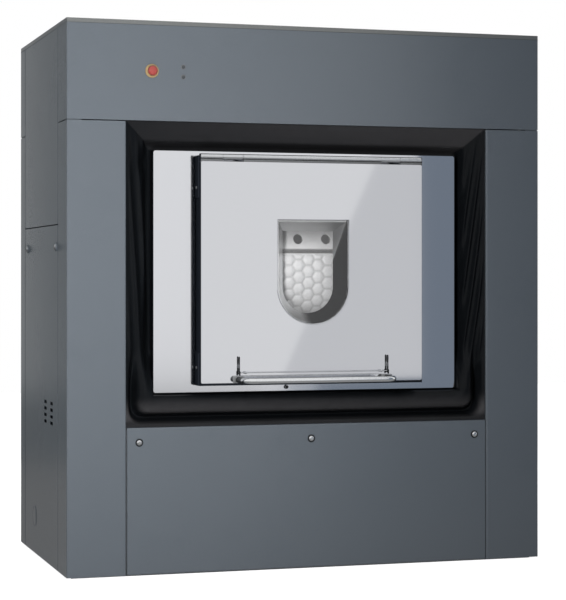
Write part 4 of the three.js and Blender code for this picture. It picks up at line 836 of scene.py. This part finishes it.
def make_lower_flap_skin(sizes):
    """The lower flap's face, with cells all over."""
    angles = (-HINGE_EDGE_ANGLE, JOG_ANGLES[0] - 0.001 / DRUM_RADIUS)
    piece = Piece("lower_flap_cells").grid(**cell_sheet(FLAP_SKIN, angles, FLAP_STEP, sizes, (0.010, 0.006)))
    made = piece.make("drum_steel", smooth_angle=50)
    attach(made, "lower_flap")


def make_seam_strips():
    """The set-in edges of the two flaps: each falls smoothly from its face to the seam between them."""
    half = FLAP_HALF_LENGTH - 0.002
    seam, lap = 0.0007 / DRUM_RADIUS, 0.0004
    lower, upper = (SEAM_ANGLE - seam, JOG_ANGLES[0] - lap), (SEAM_ANGLE + seam, JOG_ANGLES[1] + lap)
    share = np.linspace(0, 1, 13)
    for body, (inner, outer) in (("lower_flap", lower), ("upper_flap", upper)):
        x, angle = np.meshgrid(np.linspace(-half, half, 61), inner + (outer - inner) * share)
        sheet = drum_point(x, angle, DRUM_RADIUS - 0.0010 + 0.0018 * smooth(share)[:, None])
        # Painted shade, darkest in the seam between the two flaps.
        dull = 1 - smooth((share - 0.45) / 0.55)[:, None]
        piece = Piece(f"{body}_edge_strip").grid(sheet, flip=body == "lower_flap", dull=dull)
        made = piece.make("drum_steel", finish="seam_steel")
        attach(made, body)


def make_shell_skin(sizes):
    """The drum's shell round the back, and the strips at both ends of the way in."""
    end, side = DRUM_HALF_LENGTH - SHELL_GAP, FLAP_HALF_LENGTH + SHELL_GAP
    edge = WAY_IN_ANGLE + SHELL_GAP
    round_the_back = (edge, 2 * math.pi - edge)
    piece = Piece("drum_shell_cells")
    piece.grid(**cell_sheet((-end, end), round_the_back, SHELL_STEP, sizes, (0.016, 0.012)))
    for span in ((-end, -side), (side, end)):
        piece.grid(**cell_sheet(span, (-edge, edge), END_STEP, sizes, (0.012, 0.001)))
    made = piece.make("drum_steel", smooth_angle=50)
    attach(made, "drum_unit")


def make_springs():
    """Four coil springs under the cradle, with flat ends."""
    low, high = SPRING_SPAN
    turn = np.linspace(0, SPRING_TURNS, 221)
    level = low + (high - low) * np.clip((turn - 0.5) / (SPRING_TURNS - 1.0), 0, 1)
    angle = 2 * np.pi * turn
    for name, x, y in SPRINGS:
        path = np.stack([x + SPRING_RADIUS * np.cos(angle), y + SPRING_RADIUS * np.sin(angle), level], 1)
        made = Piece(f"{name}_coil").solid(swept(path, SPRING_WIRE, 14)).make("spring_steel", closed=True)
        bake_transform(made)
        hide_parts(name)


# Door parts

SLEEVE_SPANS = ((-0.341, -0.2752), (-0.2128, 0.2128), (0.2752, 0.341))
KNUCKLE_SPANS = ((-0.2744, -0.2136), (0.2136, 0.2744))
SLEEVE_BORE, SLEEVE_RADIUS, SLEEVE_EDGE = 0.0062, 0.0088, 0.0007
FUNNEL_SEAT = 0.0083  # behind the door's front
STRIP_BACK = DOOR_FRONT + 0.016
BOLT = ((0, 0), (0, 4.2), (1.8, 4.0), (2.4, 2.8), (2.4, 0))  # how far out and radius, in millimetres
KEEPER_PLACE = (-0.066, 0.537)
KEEPER_CAP = ((0.4, 6.4), (1.6, 6.4), (1.6, 5.4), (7.1, 5.4), (8.3, 4.2), (8.3, 0))
GRIP_RADIUS = 0.0088
GRIP_BEND = 0.026
EAR_RADIUS = 0.0034
EAR_INSET = 0.020
LATCH_HUB = ((-2.8, 0), (-2.8, 4.2), (-2.2, 4.8), (2.2, 4.8), (2.8, 4.2), (2.8, 0))
LATCH_WIRE = 0.0014


def window_rings(steps):
    """Rings of the window's outline, one for each inset and distance behind the door's front."""
    return np.array([standing(window_outline(inset), "y", DOOR_FRONT + behind) for inset, behind in steps])


def make_window_rim(side_name, sizes):
    """A thin pressed rim round the window that rises to a crown and falls to the glass."""
    w = sizes.rim_width
    outside = ((-w, 0.0002), (-w * 0.8, -0.0006), (-w * 0.4, -0.0009))
    rings = window_rings([*outside, (0.0, -0.0006), (0.0006, 0.0004), (0.0006, 0.0018)])
    made = Piece(f"{side_name}_window_rim").tube(rings).make("stainless", side_name, smooth_angle=50)
    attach(made, f"{side_name}_door")


def make_window_funnel(side_name):
    """The smooth funnel behind the glass, drawn in steadily to the back of the door."""
    share = np.linspace(0, 1, 17)
    deep = DOOR_BACK + 0.0004 - DOOR_FRONT
    cone = zip(0.0058 + 0.0258 * share, FUNNEL_SEAT + (deep - FUNNEL_SEAT) * share)
    piece = Piece(f"{side_name}_window_funnel").tube(window_rings([(0.0008, 0.0081), *cone]))
    made = piece.make("stainless", side_name, finish="funnel_steel", smooth_angle=50)
    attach(made, f"{side_name}_door")


def make_edge_strips(side_name, sizes):
    """Dark strips round the door: its two sides with a thicker block at each end and its lower edge, and a grey strip
    of painted shade in the hinge gap.
    """
    piece = Piece(f"{side_name}_door_edge_strips")
    shade = Piece(f"{side_name}_hinge_gap")
    bolts = Piece(f"{side_name}_door_edge_bolts")
    thick = sizes.edge_strip
    left, right, bottom, top = DOOR
    y, z = HINGE_AXIS
    strip = rounded_rectangle(DOOR_FRONT + 0.0015, DOOR_BACK - 0.001, bottom - 0.0075, top - 0.003, 0.0014, 4)
    cap = rounded_rectangle(y - 0.0085, y + 0.0085, top - 0.002, z + 0.0085, 0.0040, 5)
    plates = [(strip, 0.0001, thick, 0.0004), (cap, 0.0002, thick, 0.0004)]
    for low, high in ((bottom - 0.0075, bottom + 0.088), (top - 0.105, top + 0.018)):
        block = rounded_rectangle(STRIP_BACK, DOOR_BACK, low, high, 0.004, 4)
        plates.append((block, 0.0001, thick + 0.0028, 0.0007))
    for sign in (-1, 1):
        for outline, inner, outer, bevel in plates:
            piece.solid(slab(outline, "x", sorted((sign * (right + inner), sign * (right + outer))), bevel))
        bolt = outward(sign * (right + thick + 0.0024), BOLT, sign)
        for level in (top - 0.075, bottom + 0.045):
            bolts.tube(turned("x", bolt, ((STRIP_BACK + DOOR_BACK) / 2, level), 24))
    foot = rounded_rectangle(STRIP_BACK, DOOR_BACK - 0.002, bottom - 0.0080, bottom - 0.0002, 0.0016, 4)
    piece.solid(slab(foot, "x", (left + 0.0004, right - 0.0004)))
    # Painted shade: a grey strip that fills the gap under the hinge sleeves.
    gap = rounded_rectangle(DOOR_FRONT + 0.0004, DOOR_FRONT + 0.0064, top + 0.0002, z - 0.0074, 0.0008, 3)
    for span in SLEEVE_SPANS:
        shade.solid(slab(gap, "x", span, 0.0005))
    for part, slot, finish in (
        (piece, "black_plastic", "strip_black"),
        (shade, "black_plastic", "gap_grey"),
        (bolts, "stainless", "dull_steel"),
    ):
        made = part.make(slot, side_name, closed=True, finish=finish)
        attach(made, f"{side_name}_door")


def make_keeper_cap(side_name):
    """A dark cap on the stud under the door."""
    piece = Piece(f"{side_name}_keeper_cap").tube(turned("y", outward(FACE_FRONT, KEEPER_CAP), KEEPER_PLACE, 28))
    made = piece.make("black_plastic", side_name)
    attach(made, "tub_unit")


def make_hinge_barrels(side_name):
    """Smooth sleeves over the hinge: long ones on the door and short ones on the tub's face."""
    bore, radius, edge = SLEEVE_BORE, SLEEVE_RADIUS, SLEEVE_EDGE
    door = Piece(f"{side_name}_hinge_sleeves")
    tub = Piece(f"{side_name}_hinge_knuckles")
    for piece, spans, body in ((door, SLEEVE_SPANS, f"{side_name}_door"), (tub, KNUCKLE_SPANS, "tub_unit")):
        for start, end in spans:
            rise = [(start, bore), (start, radius - edge), (start + edge, radius)]
            fall = [(end - edge, radius), (end, radius - edge), (end, bore)]
            piece.tube(turned("x", rise + fall, HINGE_AXIS))
        made = piece.make("stainless", side_name, finish="satin_steel")
        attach(made, body)


def make_handle(side_name):
    """The bow handle: a bright round bar with two bends on arms made black as painted shade, its foot plates and the
    ears of the latch.
    """
    quarter = np.linspace(0, np.pi / 2, 13)
    bend = np.stack([1 - np.cos(quarter), 1 - np.sin(quarter)], 1) * GRIP_BEND
    left, right = bend + (-GRIP_X, GRIP_BAR_Y), (bend * (-1, 1) + (GRIP_X, GRIP_BAR_Y))[::-1]
    bar = np.linspace(-GRIP_X + GRIP_BEND, GRIP_X - GRIP_BEND, 24)[1:-1]
    plan = np.concatenate([left, np.stack([bar, np.full_like(bar, GRIP_BAR_Y)], 1), right])
    bow = Piece(f"{side_name}_bow_handle").solid(swept(standing(plan, "z", GRIP_LEVEL), GRIP_RADIUS, 28))
    arms = Piece(f"{side_name}_handle_arms")
    plates = Piece(f"{side_name}_handle_plates")
    ears = Piece(f"{side_name}_latch_ears")
    behind = DOOR_FRONT - 0.0006
    foot = [(behind, LATCH_AXIS[1] - EAR_RADIUS), (behind, LATCH_AXIS[1] + EAR_RADIUS)]
    ear = np.concatenate([circle(EAR_RADIUS, 18, np.pi * 0.5)[:10] + LATCH_AXIS, foot])
    bar_end = GRIP_BAR_Y + GRIP_BEND
    arm = [(DOOR_FRONT - 0.0010, GRIP_RADIUS), (bar_end + 0.0006, GRIP_RADIUS), (bar_end, GRIP_RADIUS - 0.0006)]
    for sign in (-1, 1):
        x, ear_x = sign * GRIP_X, sign * (GRIP_X - EAR_INSET)
        arms.solid(turned("y", arm, (x, GRIP_LEVEL), 28))
        plate = rounded_rectangle(x - 0.017, x + 0.017, 0.5545, 0.574, 0.004, 5)
        plates.solid(slab(plate, "y", (DOOR_FRONT - 0.0022, DOOR_FRONT - 0.0003)))
        ears.solid(slab(ear, "x", (ear_x - 0.002, ear_x + 0.002)))
    # The arms take the black finish as painted shade.
    for piece, finish in ((bow, "bar_steel"), (arms, "black_plastic"), (plates, "plate_steel"), (ears, "matt_steel")):
        made = piece.make("stainless", side_name, closed=True, finish=finish)
        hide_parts(f"{side_name}_handle")
        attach(made, f"{side_name}_door")


def make_latch(side_name):
    """Two dark levers on one thin shaft. Each has a grey steel sleeve in its middle and a ribbed black grip at its
    tip.
    """
    y, z = LATCH_AXIS
    levers = Piece(f"{side_name}_latch_levers")
    sleeves = Piece(f"{side_name}_latch_sleeves")
    shaft = Piece(f"{side_name}_latch_shaft")
    wire = [(-GRIP_X, 0.0), (-GRIP_X, LATCH_WIRE), (GRIP_X, LATCH_WIRE), (GRIP_X, 0.0)]
    shaft.tube(turned("x", wire, LATCH_AXIS, 20))
    blade = rounded_rectangle(y - 0.0034, y + 0.0062, z - 0.006, z + 0.026, 0.002, 4)
    foot = rounded_rectangle(y - 0.0080, y - 0.0010, z - 0.0086, z - 0.0020, 0.002, 4)
    flat = circle(1.0, 24) * (0.50, 2.30)
    share = np.linspace(0, 1, 25)
    grips = ((sleeves, 0.0120, 0.0250, 0.0, 0.0026), (levers, 0.0245, 0.0470, 0.0002, 0.0028))
    for x in (-GRIP_X, GRIP_X):
        levers.tube(turned("x", outward(x, LATCH_HUB, 1.0), LATCH_AXIS, 28))
        for outline, half in ((blade, 0.0012), (foot, 0.0014)):
            levers.solid(slab(outline, "x", (x - half, x + half), 0.0004))
        for piece, low, high, rib, radius in grips:
            swell = radius + 0.0003 * np.sin(np.pi * share) + rib * np.cos(share * 12 * np.pi)
            swell[[0, -1]] = radius * 0.62
            swell[[1, -2]] = radius * 0.88
            rings = zip(low + (high - low) * share, swell)
            piece.solid([standing(flat * size + (x, y + 0.0022 - 0.015 * up), "z", z + up) for up, size in rings])
    for piece, finish in ((levers, "black_plastic"), (sleeves, "dull_steel"), (shaft, "matt_steel")):
        made = piece.make("latch_steel", side_name, closed=True, finish=finish, smooth_angle=40)
        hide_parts(f"{side_name}_latch")
        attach(made, f"{side_name}_latch")


# Fittings on the casing. Profiles give how far out and the radius, and domes their start, bulge and radius, all in
# millimetres.

STOP_COLLAR = ((0.3, 0), (0.3, 19.6), (1.3, 20.0), (3.3, 19.8), (4.3, 18.6), (4.3, 15.0), (3.7, 14.4), (3.7, 0))
STOP_DOME = (14.1, 6.2, 13.8)
STOP_BODY = ((12.6, 14.5), (10.8, 14.5), (9.6, 13.6), (9.6, 7.0), (-11.7, 7.0), (-11.7, 0))
LAMP_RING = ((0.1, 4.7), (0.1, 6.7), (1.0, 7.0), (1.6, 6.6), (1.6, 5.0))
LAMP_DOME = (1.2, 1.6, 5.2)
LAMP_BODY = ((-3.0, 5.2), (-3.0, 0))
START_RING = ((0.1, 18.8), (0.1, 22.2), (1.2, 22.0), (1.6, 20.5), (1.0, 18.8))
BLANK_RING = ((0.2, 34.7), (0.7, 33.7), (0.4, 32.5), (-0.4, 31.6), (0.4, 30.7), (0.7, 29.5), (0.7, 0))
BLANK_PLACE = (0.129, 0.121)
LOCK_PLACES = ((-0.519, 0.386), (0.0, 0.386), (0.519, 0.386))
SIDE_LOCK_PLACES = ((-0.232, 0.950), (0.260, 0.950))
SIDE_LOCK_WIDER, SIDE_LOCK_HIGHER = 1.15, 1.6
LID_JOINT_Z = 1.5866
SCALE_MARKS = 11
SCALE_RADIUS = 0.0385


def dome(start, bulge, radius, steps):
    """A dome from its top to its edge, in the millimetres of the profiles."""
    angle = np.linspace(0, np.pi / 2, steps)
    return [(start + bulge * math.cos(a), radius * math.sin(a)) for a in angle]


def make_stop(side_name):
    """The emergency stop: a domed red head on a yellow collar with a raised edge."""
    piece = Piece(f"{side_name}_stop_collar").tube(turned("y", outward(CASING_FRONT, STOP_COLLAR), STOP_PLACE, 64))
    made = piece.make("stop_yellow", side_name, closed=True)
    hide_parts(f"{side_name}_estop_collar")
    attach(made, "casing")
    head = outward(CASING_FRONT, [*dome(*STOP_DOME, 14), *STOP_BODY])
    piece = Piece(f"{side_name}_stop_head").tube(turned("y", head, STOP_PLACE, 64))
    made = piece.make("stop_red", side_name, closed=True, smooth_angle=30)
    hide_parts(f"{side_name}_estop_button")
    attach(made, f"{side_name}_estop")


def make_lamps():
    """Two small lamps: a domed lens in a grey ring."""
    rings = Piece("status_lamp_rings")
    lenses = Piece("status_lamp_lenses")
    for place in LAMP_PLACES:
        rings.tube(turned("y", outward(CASING_FRONT, LAMP_RING), place, 40))
        lenses.tube(turned("y", outward(CASING_FRONT, [*dome(*LAMP_DOME, 9), *LAMP_BODY]), place, 40))
    made = rings.make("lamp_lens", finish="gap_grey")
    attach(made, "casing")
    made = lenses.make("lamp_lens", closed=True)
    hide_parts("status_lamps")
    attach(made, "casing")


def lock_profiles(radius, higher=1.0):
    """The flange and the head of a round lock. The head is a dome with a recessed middle."""
    r = radius / MM
    flange = [(0.0, r), (1.0, r), (1.8, r * 0.93), (1.8, r * 0.74), (0.2, r * 0.74)]
    bulge = [(0.8 + 4.0 * math.sin(a), r * (0.28 + 0.44 * math.cos(a))) for a in np.linspace(0.1, np.pi / 2, 10)]
    head = [(0.3, r * 0.72), *bulge, (3.0, r * 0.25), (3.0, 0.0)]
    return [[(out * higher, wide) for out, wide in profile] for profile in (flange, head)]


def make_locks(sizes):
    """Round panel locks: bright ones on the service panels and duller ones on the side panels."""
    profiles = lock_profiles(sizes.lock_radius)
    for name, profile, finish in zip(("lock_flanges", "lock_heads"), profiles, ("black_plastic", "bright_steel")):
        for side_name in SIDES:
            piece = Piece(f"{side_name}_{name}")
            for place in LOCK_PLACES:
                piece.tube(turned("y", outward(CASING_FRONT, profile), place))
            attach(piece.make("stainless", side_name, closed=True, finish=finish), "casing")
    profiles = lock_profiles(sizes.lock_radius * SIDE_LOCK_WIDER, SIDE_LOCK_HIGHER)
    for name, profile, finish in zip(("flanges", "heads"), profiles, ("paint", "dull_steel")):
        piece = Piece(f"side_lock_{name}")
        for sign in (-1.0, 1.0):
            for place in SIDE_LOCK_PLACES:
                piece.tube(turned("x", outward(sign * CASING_HALF_WIDTH, profile, sign), place))
        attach(piece.make("stainless", closed=True, finish=finish), "casing")


def make_lid_joint():
    """A dark line of painted shade at the joint between the lid and the sheets under it, all the way round."""
    rings = []
    for out, up in ((-1.7, 0.0), (0.3, 0.2), (0.3, 1.4), (-1.7, 1.6)):
        half_x, half_y = CASING_HALF_WIDTH + out * MM, -CASING_FRONT + out * MM
        outline = rounded_rectangle(-half_x, half_x, -half_y, half_y, 0.004, 6)
        rings.append(standing(outline, "z", LID_JOINT_Z + up * MM))
    piece = Piece("lid_joint").tube(rings, closed_rows=True)
    made = piece.make("black_plastic", closed=True, finish="shade_line")
    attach(made, "casing")


def make_seam_shade_strips(side_name):
    """A dark strip of painted shade set back in each upright seam between the service panel and its two columns."""
    piece = Piece(f"{side_name}_seam_shade_strips")
    inner, outer = OPENING[1] - SHEET_SEAM + 0.0002, OPENING[1] - 0.0002
    for left, right in ((inner, outer), (-outer, -inner)):
        shade_strip = rounded_rectangle(left, right, CASING_FRONT + 0.0035, CASING_FRONT + 0.0120, 0.0005, 3)
        piece.solid(slab(shade_strip, "z", (0.010, OPENING[2] - 0.003), 0.0003))
    made = piece.make("black_plastic", side_name, closed=True, finish="shade_line")
    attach(made, "casing")


def make_blank():
    """The blanked round hole low on each side: a shallow pressed ring with a plain middle."""
    piece = Piece("side_blanks")
    for sign in (-1.0, 1.0):
        profile = outward(sign * CASING_HALF_WIDTH, BLANK_RING, sign)
        piece.tube(turned("x", profile, BLANK_PLACE, 56), flip=sign > 0)
    made = piece.make("paint", smooth_angle=40)
    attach(made, "casing")


def make_controls():
    """The knob's pointer and scale, and the ring of the start button, on the loading side."""
    x, z = SELECTOR_PLACE
    ring = Piece("start_ring").tube(turned("y", outward(BEZEL_FRONT, START_RING), START_PLACE, 56))
    scale = Piece("selector_scale")
    for k, angle in enumerate(np.radians(np.linspace(-45, 225, SCALE_MARKS))):
        along = np.array([math.cos(angle), math.sin(angle)])
        side = np.array([-along[1], along[0]])
        half, width = (0.0042, 0.0008) if k % 5 else (0.0055, 0.0011)
        middle = SELECTOR_PLACE + SCALE_RADIUS * along
        corners = [middle + along * half * u + side * width * v for u, v in ((-1, -1), (1, -1), (1, 1), (-1, 1))]
        scale.solid(slab(corners, "y", (BEZEL_FRONT - 0.0005, BEZEL_FRONT + 0.0001), 0.0002, 1))
    for piece in (ring, scale):
        made = piece.make("stainless", "rear", closed=piece is scale, finish="bright_steel")
        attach(made, "casing")
    top = BEZEL_FRONT - 0.0226
    outline = rounded_rectangle(x - 0.0012, x + 0.0012, z + 0.008, z + 0.024, 0.0011, 4)
    pointer = Piece("selector_pointer").solid(slab(outline, "y", (top - 0.0006, top + 0.0004), 0.0002, 1))
    made = pointer.make("stop_red", "rear", closed=True)
    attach(made, "selector")


# Studio

CAMERA_PLACE = (-1.742, -5.795, 0.862)
CAMERA_HEADING = math.atan2(0.2932, 0.956)
FOCAL_PIXELS = 1921.0
IMAGE_SIZE = (566, 600)
HORIZON_ROW = 277.0
SENSOR_WIDTH = 36.0
CAMERA_REACH = 200.0
WHITE = (1.0, 1.0, 1.0, 1.0)
AIR, AIR_LEVEL = (0.96, 0.98, 1.0, 1.0), 0.28
FLOOR_HALF = 8.4
FLOOR_SEEN, FLOOR_MIRRORED = 0.93, 0.30
# Name, place, aim, size and power
LAMPS = (
    ("key_lamp", (-0.87, -2.05, 0.84), (-0.87, 0.0, 0.70), (0.25, 2.8), 90.0),
    ("rear_lamp", (0.55, 3.20, 1.05), (0.30, 0.0, 0.80), (1.2, 2.4), 42.0),
    ("side_lamp", (-3.0, 2.4, 1.4), (-0.73, 0.4, 0.9), (1.2, 2.4), 4.6),
    ("front_drum_lamp", (-0.26, -0.350, 0.87), (0.0, -0.31, 0.85), (0.02, 0.24), 0.20),
    ("rear_drum_lamp", (0.26, 0.350, 0.87), (0.0, 0.31, 0.85), (0.02, 0.24), 0.20),
    ("inner_drum_lamp", (0.0, 0.0, 1.05), (0.0, -0.3, 0.80), (0.50, 0.10), 0.38),
)
# Name, left, right, y, top, number of corners, strength and colour. Three corners leave out the upper left one.
CARDS = (
    ("pale_card", 0.229, 1.055, -2.2, 1.79, 3, 0.82, (0.98, 0.985, 1.0)),
    ("step_card", 0.50, 0.62, -2.19, 0.46, 4, 0.50, (0.90, 0.96, 1.04)),
    ("low_card", 0.62, 1.055, -2.19, 0.46, 4, 0.27, (0.78, 0.92, 1.12)),
    ("dark_card", 1.055, 6.0, -2.19, 4.0, 4, 0.27, (0.78, 0.92, 1.12)),
    ("side_card", -5.5, -1.155, 3.0, 6.0, 4, 0.16, (0.84, 1.0, 1.12)),
)
CARD_FOOT = -0.01


def flat_face(name, corners, material):
    """An object that is one flat face through its corners."""
    mesh = bpy.data.meshes.new(name)
    mesh.from_pydata(corners, [], [tuple(range(len(corners)))])
    mesh.materials.append(material)
    return linked(name, mesh)


def make_card(name, left, right, y, top, count, strength, colour):
    """A flat glowing card on the stage, seen only by gloss."""
    f = Finish(name)
    material = f.show(f.node("ShaderNodeEmission", values={"Color": (*colour, 1.0), "Strength": strength}))
    corners = [(left, y, CARD_FOOT), (right, y, CARD_FOOT), (right, y, top), (left, y, top)]
    card = flat_face(name, corners[:count], material)
    card.visible_camera = False
    card.visible_diffuse = False
    card.visible_shadow = False
    card.visible_transmission = False


def make_floor():
    """A pale floor that camera and glass see as white, with the object's soft shadow kept, and gloss as even grey."""
    f = Finish("studio_floor")
    camera, glossy, clear = f.rays()
    pale = f.mix(f.noise(30.0, 2.0), (0.78, 0.78, 0.78, 1), (0.80, 0.80, 0.80, 1))
    plain = f.node("ShaderNodeBsdfDiffuse", values={"Color": pale})
    seen = camera.at_least(clear) * FLOOR_SEEN
    glow = f.node("ShaderNodeEmission", values={"Color": WHITE, "Strength": seen})
    bright = f.node("ShaderNodeAddShader", values=[plain, glow])
    mirrored = f.node("ShaderNodeEmission", values={"Color": WHITE, "Strength": FLOOR_MIRRORED})
    material = f.show(f.node("ShaderNodeMixShader", values=[glossy, bright, mirrored]))
    corners = [(u * FLOOR_HALF, v * FLOOR_HALF, 0) for u, v in ((-1, -1), (1, -1), (1, 1), (-1, 1))]
    floor = flat_face("studio_floor", corners, material)


def make_world():
    """White to the camera, gloss and glass, and an even pale light for everything else."""
    f = Finish("studio_air", world=True)
    camera, glossy, clear = f.rays()
    air = f.node("ShaderNodeBackground", values={"Color": AIR, "Strength": AIR_LEVEL})
    white = f.node("ShaderNodeBackground", values={"Color": WHITE, "Strength": 1.0})
    seen = camera.at_least(glossy).at_least(clear)
    bpy.context.scene.world = f.show(f.node("ShaderNodeMixShader", values=[seen, air, white]))


def make_lamp(name, place, aim, size, power):
    """A soft rectangular lamp that faces a point and isn't seen itself."""
    data = bpy.data.lights.new(name, "AREA")
    data.shape = "RECTANGLE"
    data.size, data.size_y = size
    data.energy = power
    lamp = linked(name, data)
    lamp.location = place
    x, y, z = np.array(aim, float) - np.array(place, float)
    lamp.rotation_euler = (math.atan2(math.hypot(x, y), -z), 0.0, math.atan2(-x, y))
    lamp.visible_camera = False
    lamp.visible_glossy = False


def make_camera():
    """The camera that was matched to the casing's edges, level and with its horizon above the middle."""
    data = bpy.data.cameras.new("photo_camera")
    data.sensor_width = SENSOR_WIDTH
    data.lens = FOCAL_PIXELS * SENSOR_WIDTH / max(IMAGE_SIZE)
    data.shift_y = (HORIZON_ROW - IMAGE_SIZE[1] / 2) / max(IMAGE_SIZE)
    data.clip_end = CAMERA_REACH
    camera = linked("photo_camera", data)
    camera.location = CAMERA_PLACE
    camera.rotation_euler = (math.pi / 2, 0.0, -CAMERA_HEADING)
    bpy.context.scene.camera = camera


# Operators

NODE_FINISHES = {"tub_front_panel": "face_steel", "tub_rear_panel": "face_steel", "top_panel": "lid_paint"}


class WASHER_OT_finishes(bpy.types.Operator):
    """Give every carried-over part its finish"""

    bl_idname = "washer.finishes"
    bl_label = "Finishes"

    def execute(self, context):
        make_finishes(context.scene.washer_colours)
        for row in frame["record"]["subparts"]:
            node = frame["nodes"][row["node"]]
            node.data.materials.clear()
            node.data.materials.append(FINISHES[NODE_FINISHES.get(row["node"], row["material_slot"])])
        return {"FINISHED"}


class WASHER_OT_bellows(bpy.types.Operator):
    """Hang the rubber bellows of both sides"""

    bl_idname = "washer.bellows"
    bl_label = "Bellows"

    def execute(self, context):
        for side_name in SIDES:
            make_bellows(side_name, context.scene.washer_sizes)
            make_face_lip(side_name)
        return {"FINISHED"}


class WASHER_OT_drum(bpy.types.Operator):
    """Press the cell pattern into the drum and its flaps, and set the springs under the tub"""

    bl_idname = "washer.drum"
    bl_label = "Drum pattern"

    def execute(self, context):
        sizes = context.scene.washer_sizes
        make_upper_flap_skin(sizes)
        make_lower_flap_skin(sizes)
        make_shell_skin(sizes)
        make_seam_strips()
        make_springs()
        return {"FINISHED"}


class WASHER_OT_doors(bpy.types.Operator):
    """Fit the window rims, funnels, edge strips, hinge sleeves, handles and latches"""

    bl_idname = "washer.doors"
    bl_label = "Door parts"

    def execute(self, context):
        sizes = context.scene.washer_sizes
        for side_name in SIDES:
            make_window_rim(side_name, sizes)
            make_window_funnel(side_name)
            make_edge_strips(side_name, sizes)
            make_keeper_cap(side_name)
            make_hinge_barrels(side_name)
            make_handle(side_name)
            make_latch(side_name)
        return {"FINISHED"}


class WASHER_OT_fittings(bpy.types.Operator):
    """Fit the emergency stops, lamps, locks, painted shade at the lid joint, side blanks, painted shade in the seams
    and control details
    """

    bl_idname = "washer.fittings"
    bl_label = "Fittings"

    def execute(self, context):
        for side_name in SIDES:
            make_stop(side_name)
        make_lamps()
        make_locks(context.scene.washer_sizes)
        make_lid_joint()
        make_blank()
        for side_name in SIDES:
            make_seam_shade_strips(side_name)
        make_controls()
        return {"FINISHED"}


class WASHER_OT_studio(bpy.types.Operator):
    """Set up the plain floor, the soft light and the camera"""

    bl_idname = "washer.studio"
    bl_label = "Studio"

    def execute(self, context):
        context.scene.view_settings.view_transform = "Standard"
        make_floor()
        make_world()
        for lamp in LAMPS:
            make_lamp(*lamp)
        for card in CARDS:
            make_card(*card)
        make_camera()
        return {"FINISHED"}


class WASHER_PT_panel(bpy.types.Panel):
    """Lists the washer's pieces, sizes and colours"""

    bl_label = "Barrier washer"
    bl_idname = "WASHER_PT_panel"
    bl_space_type = "VIEW_3D"
    bl_region_type = "UI"
    bl_category = "Washer"

    def draw(self, context):
        column = self.layout.column()
        for operator in OPERATORS:
            column.operator(operator.bl_idname)
        for group in (context.scene.washer_sizes, context.scene.washer_colours):
            for name in type(group).__annotations__:
                column.prop(group, name)


OPERATORS = (
    WASHER_OT_finishes,
    WASHER_OT_bellows,
    WASHER_OT_drum,
    WASHER_OT_doors,
    WASHER_OT_fittings,
    WASHER_OT_studio,
)
CLASSES = (WasherSizes, WasherColours, *OPERATORS, WASHER_PT_panel)


def register():
    """Adds the classes and the scene's sizes and colours."""
    for entry in CLASSES:
        bpy.utils.register_class(entry)
    bpy.types.Scene.washer_sizes = bpy.props.PointerProperty(type=WasherSizes)
    bpy.types.Scene.washer_colours = bpy.props.PointerProperty(type=WasherColours)


def unregister():
    """Takes them away again."""
    del bpy.types.Scene.washer_sizes
    del bpy.types.Scene.washer_colours
    for entry in reversed(CLASSES):
        bpy.utils.unregister_class(entry)


def main():
    register()
    bpy.ops.washer.finishes()
    bpy.ops.washer.bellows()
    bpy.ops.washer.drum()
    bpy.ops.washer.doors()
    bpy.ops.washer.fittings()
    bpy.ops.washer.studio()


if __name__ == "__main__":
    main()
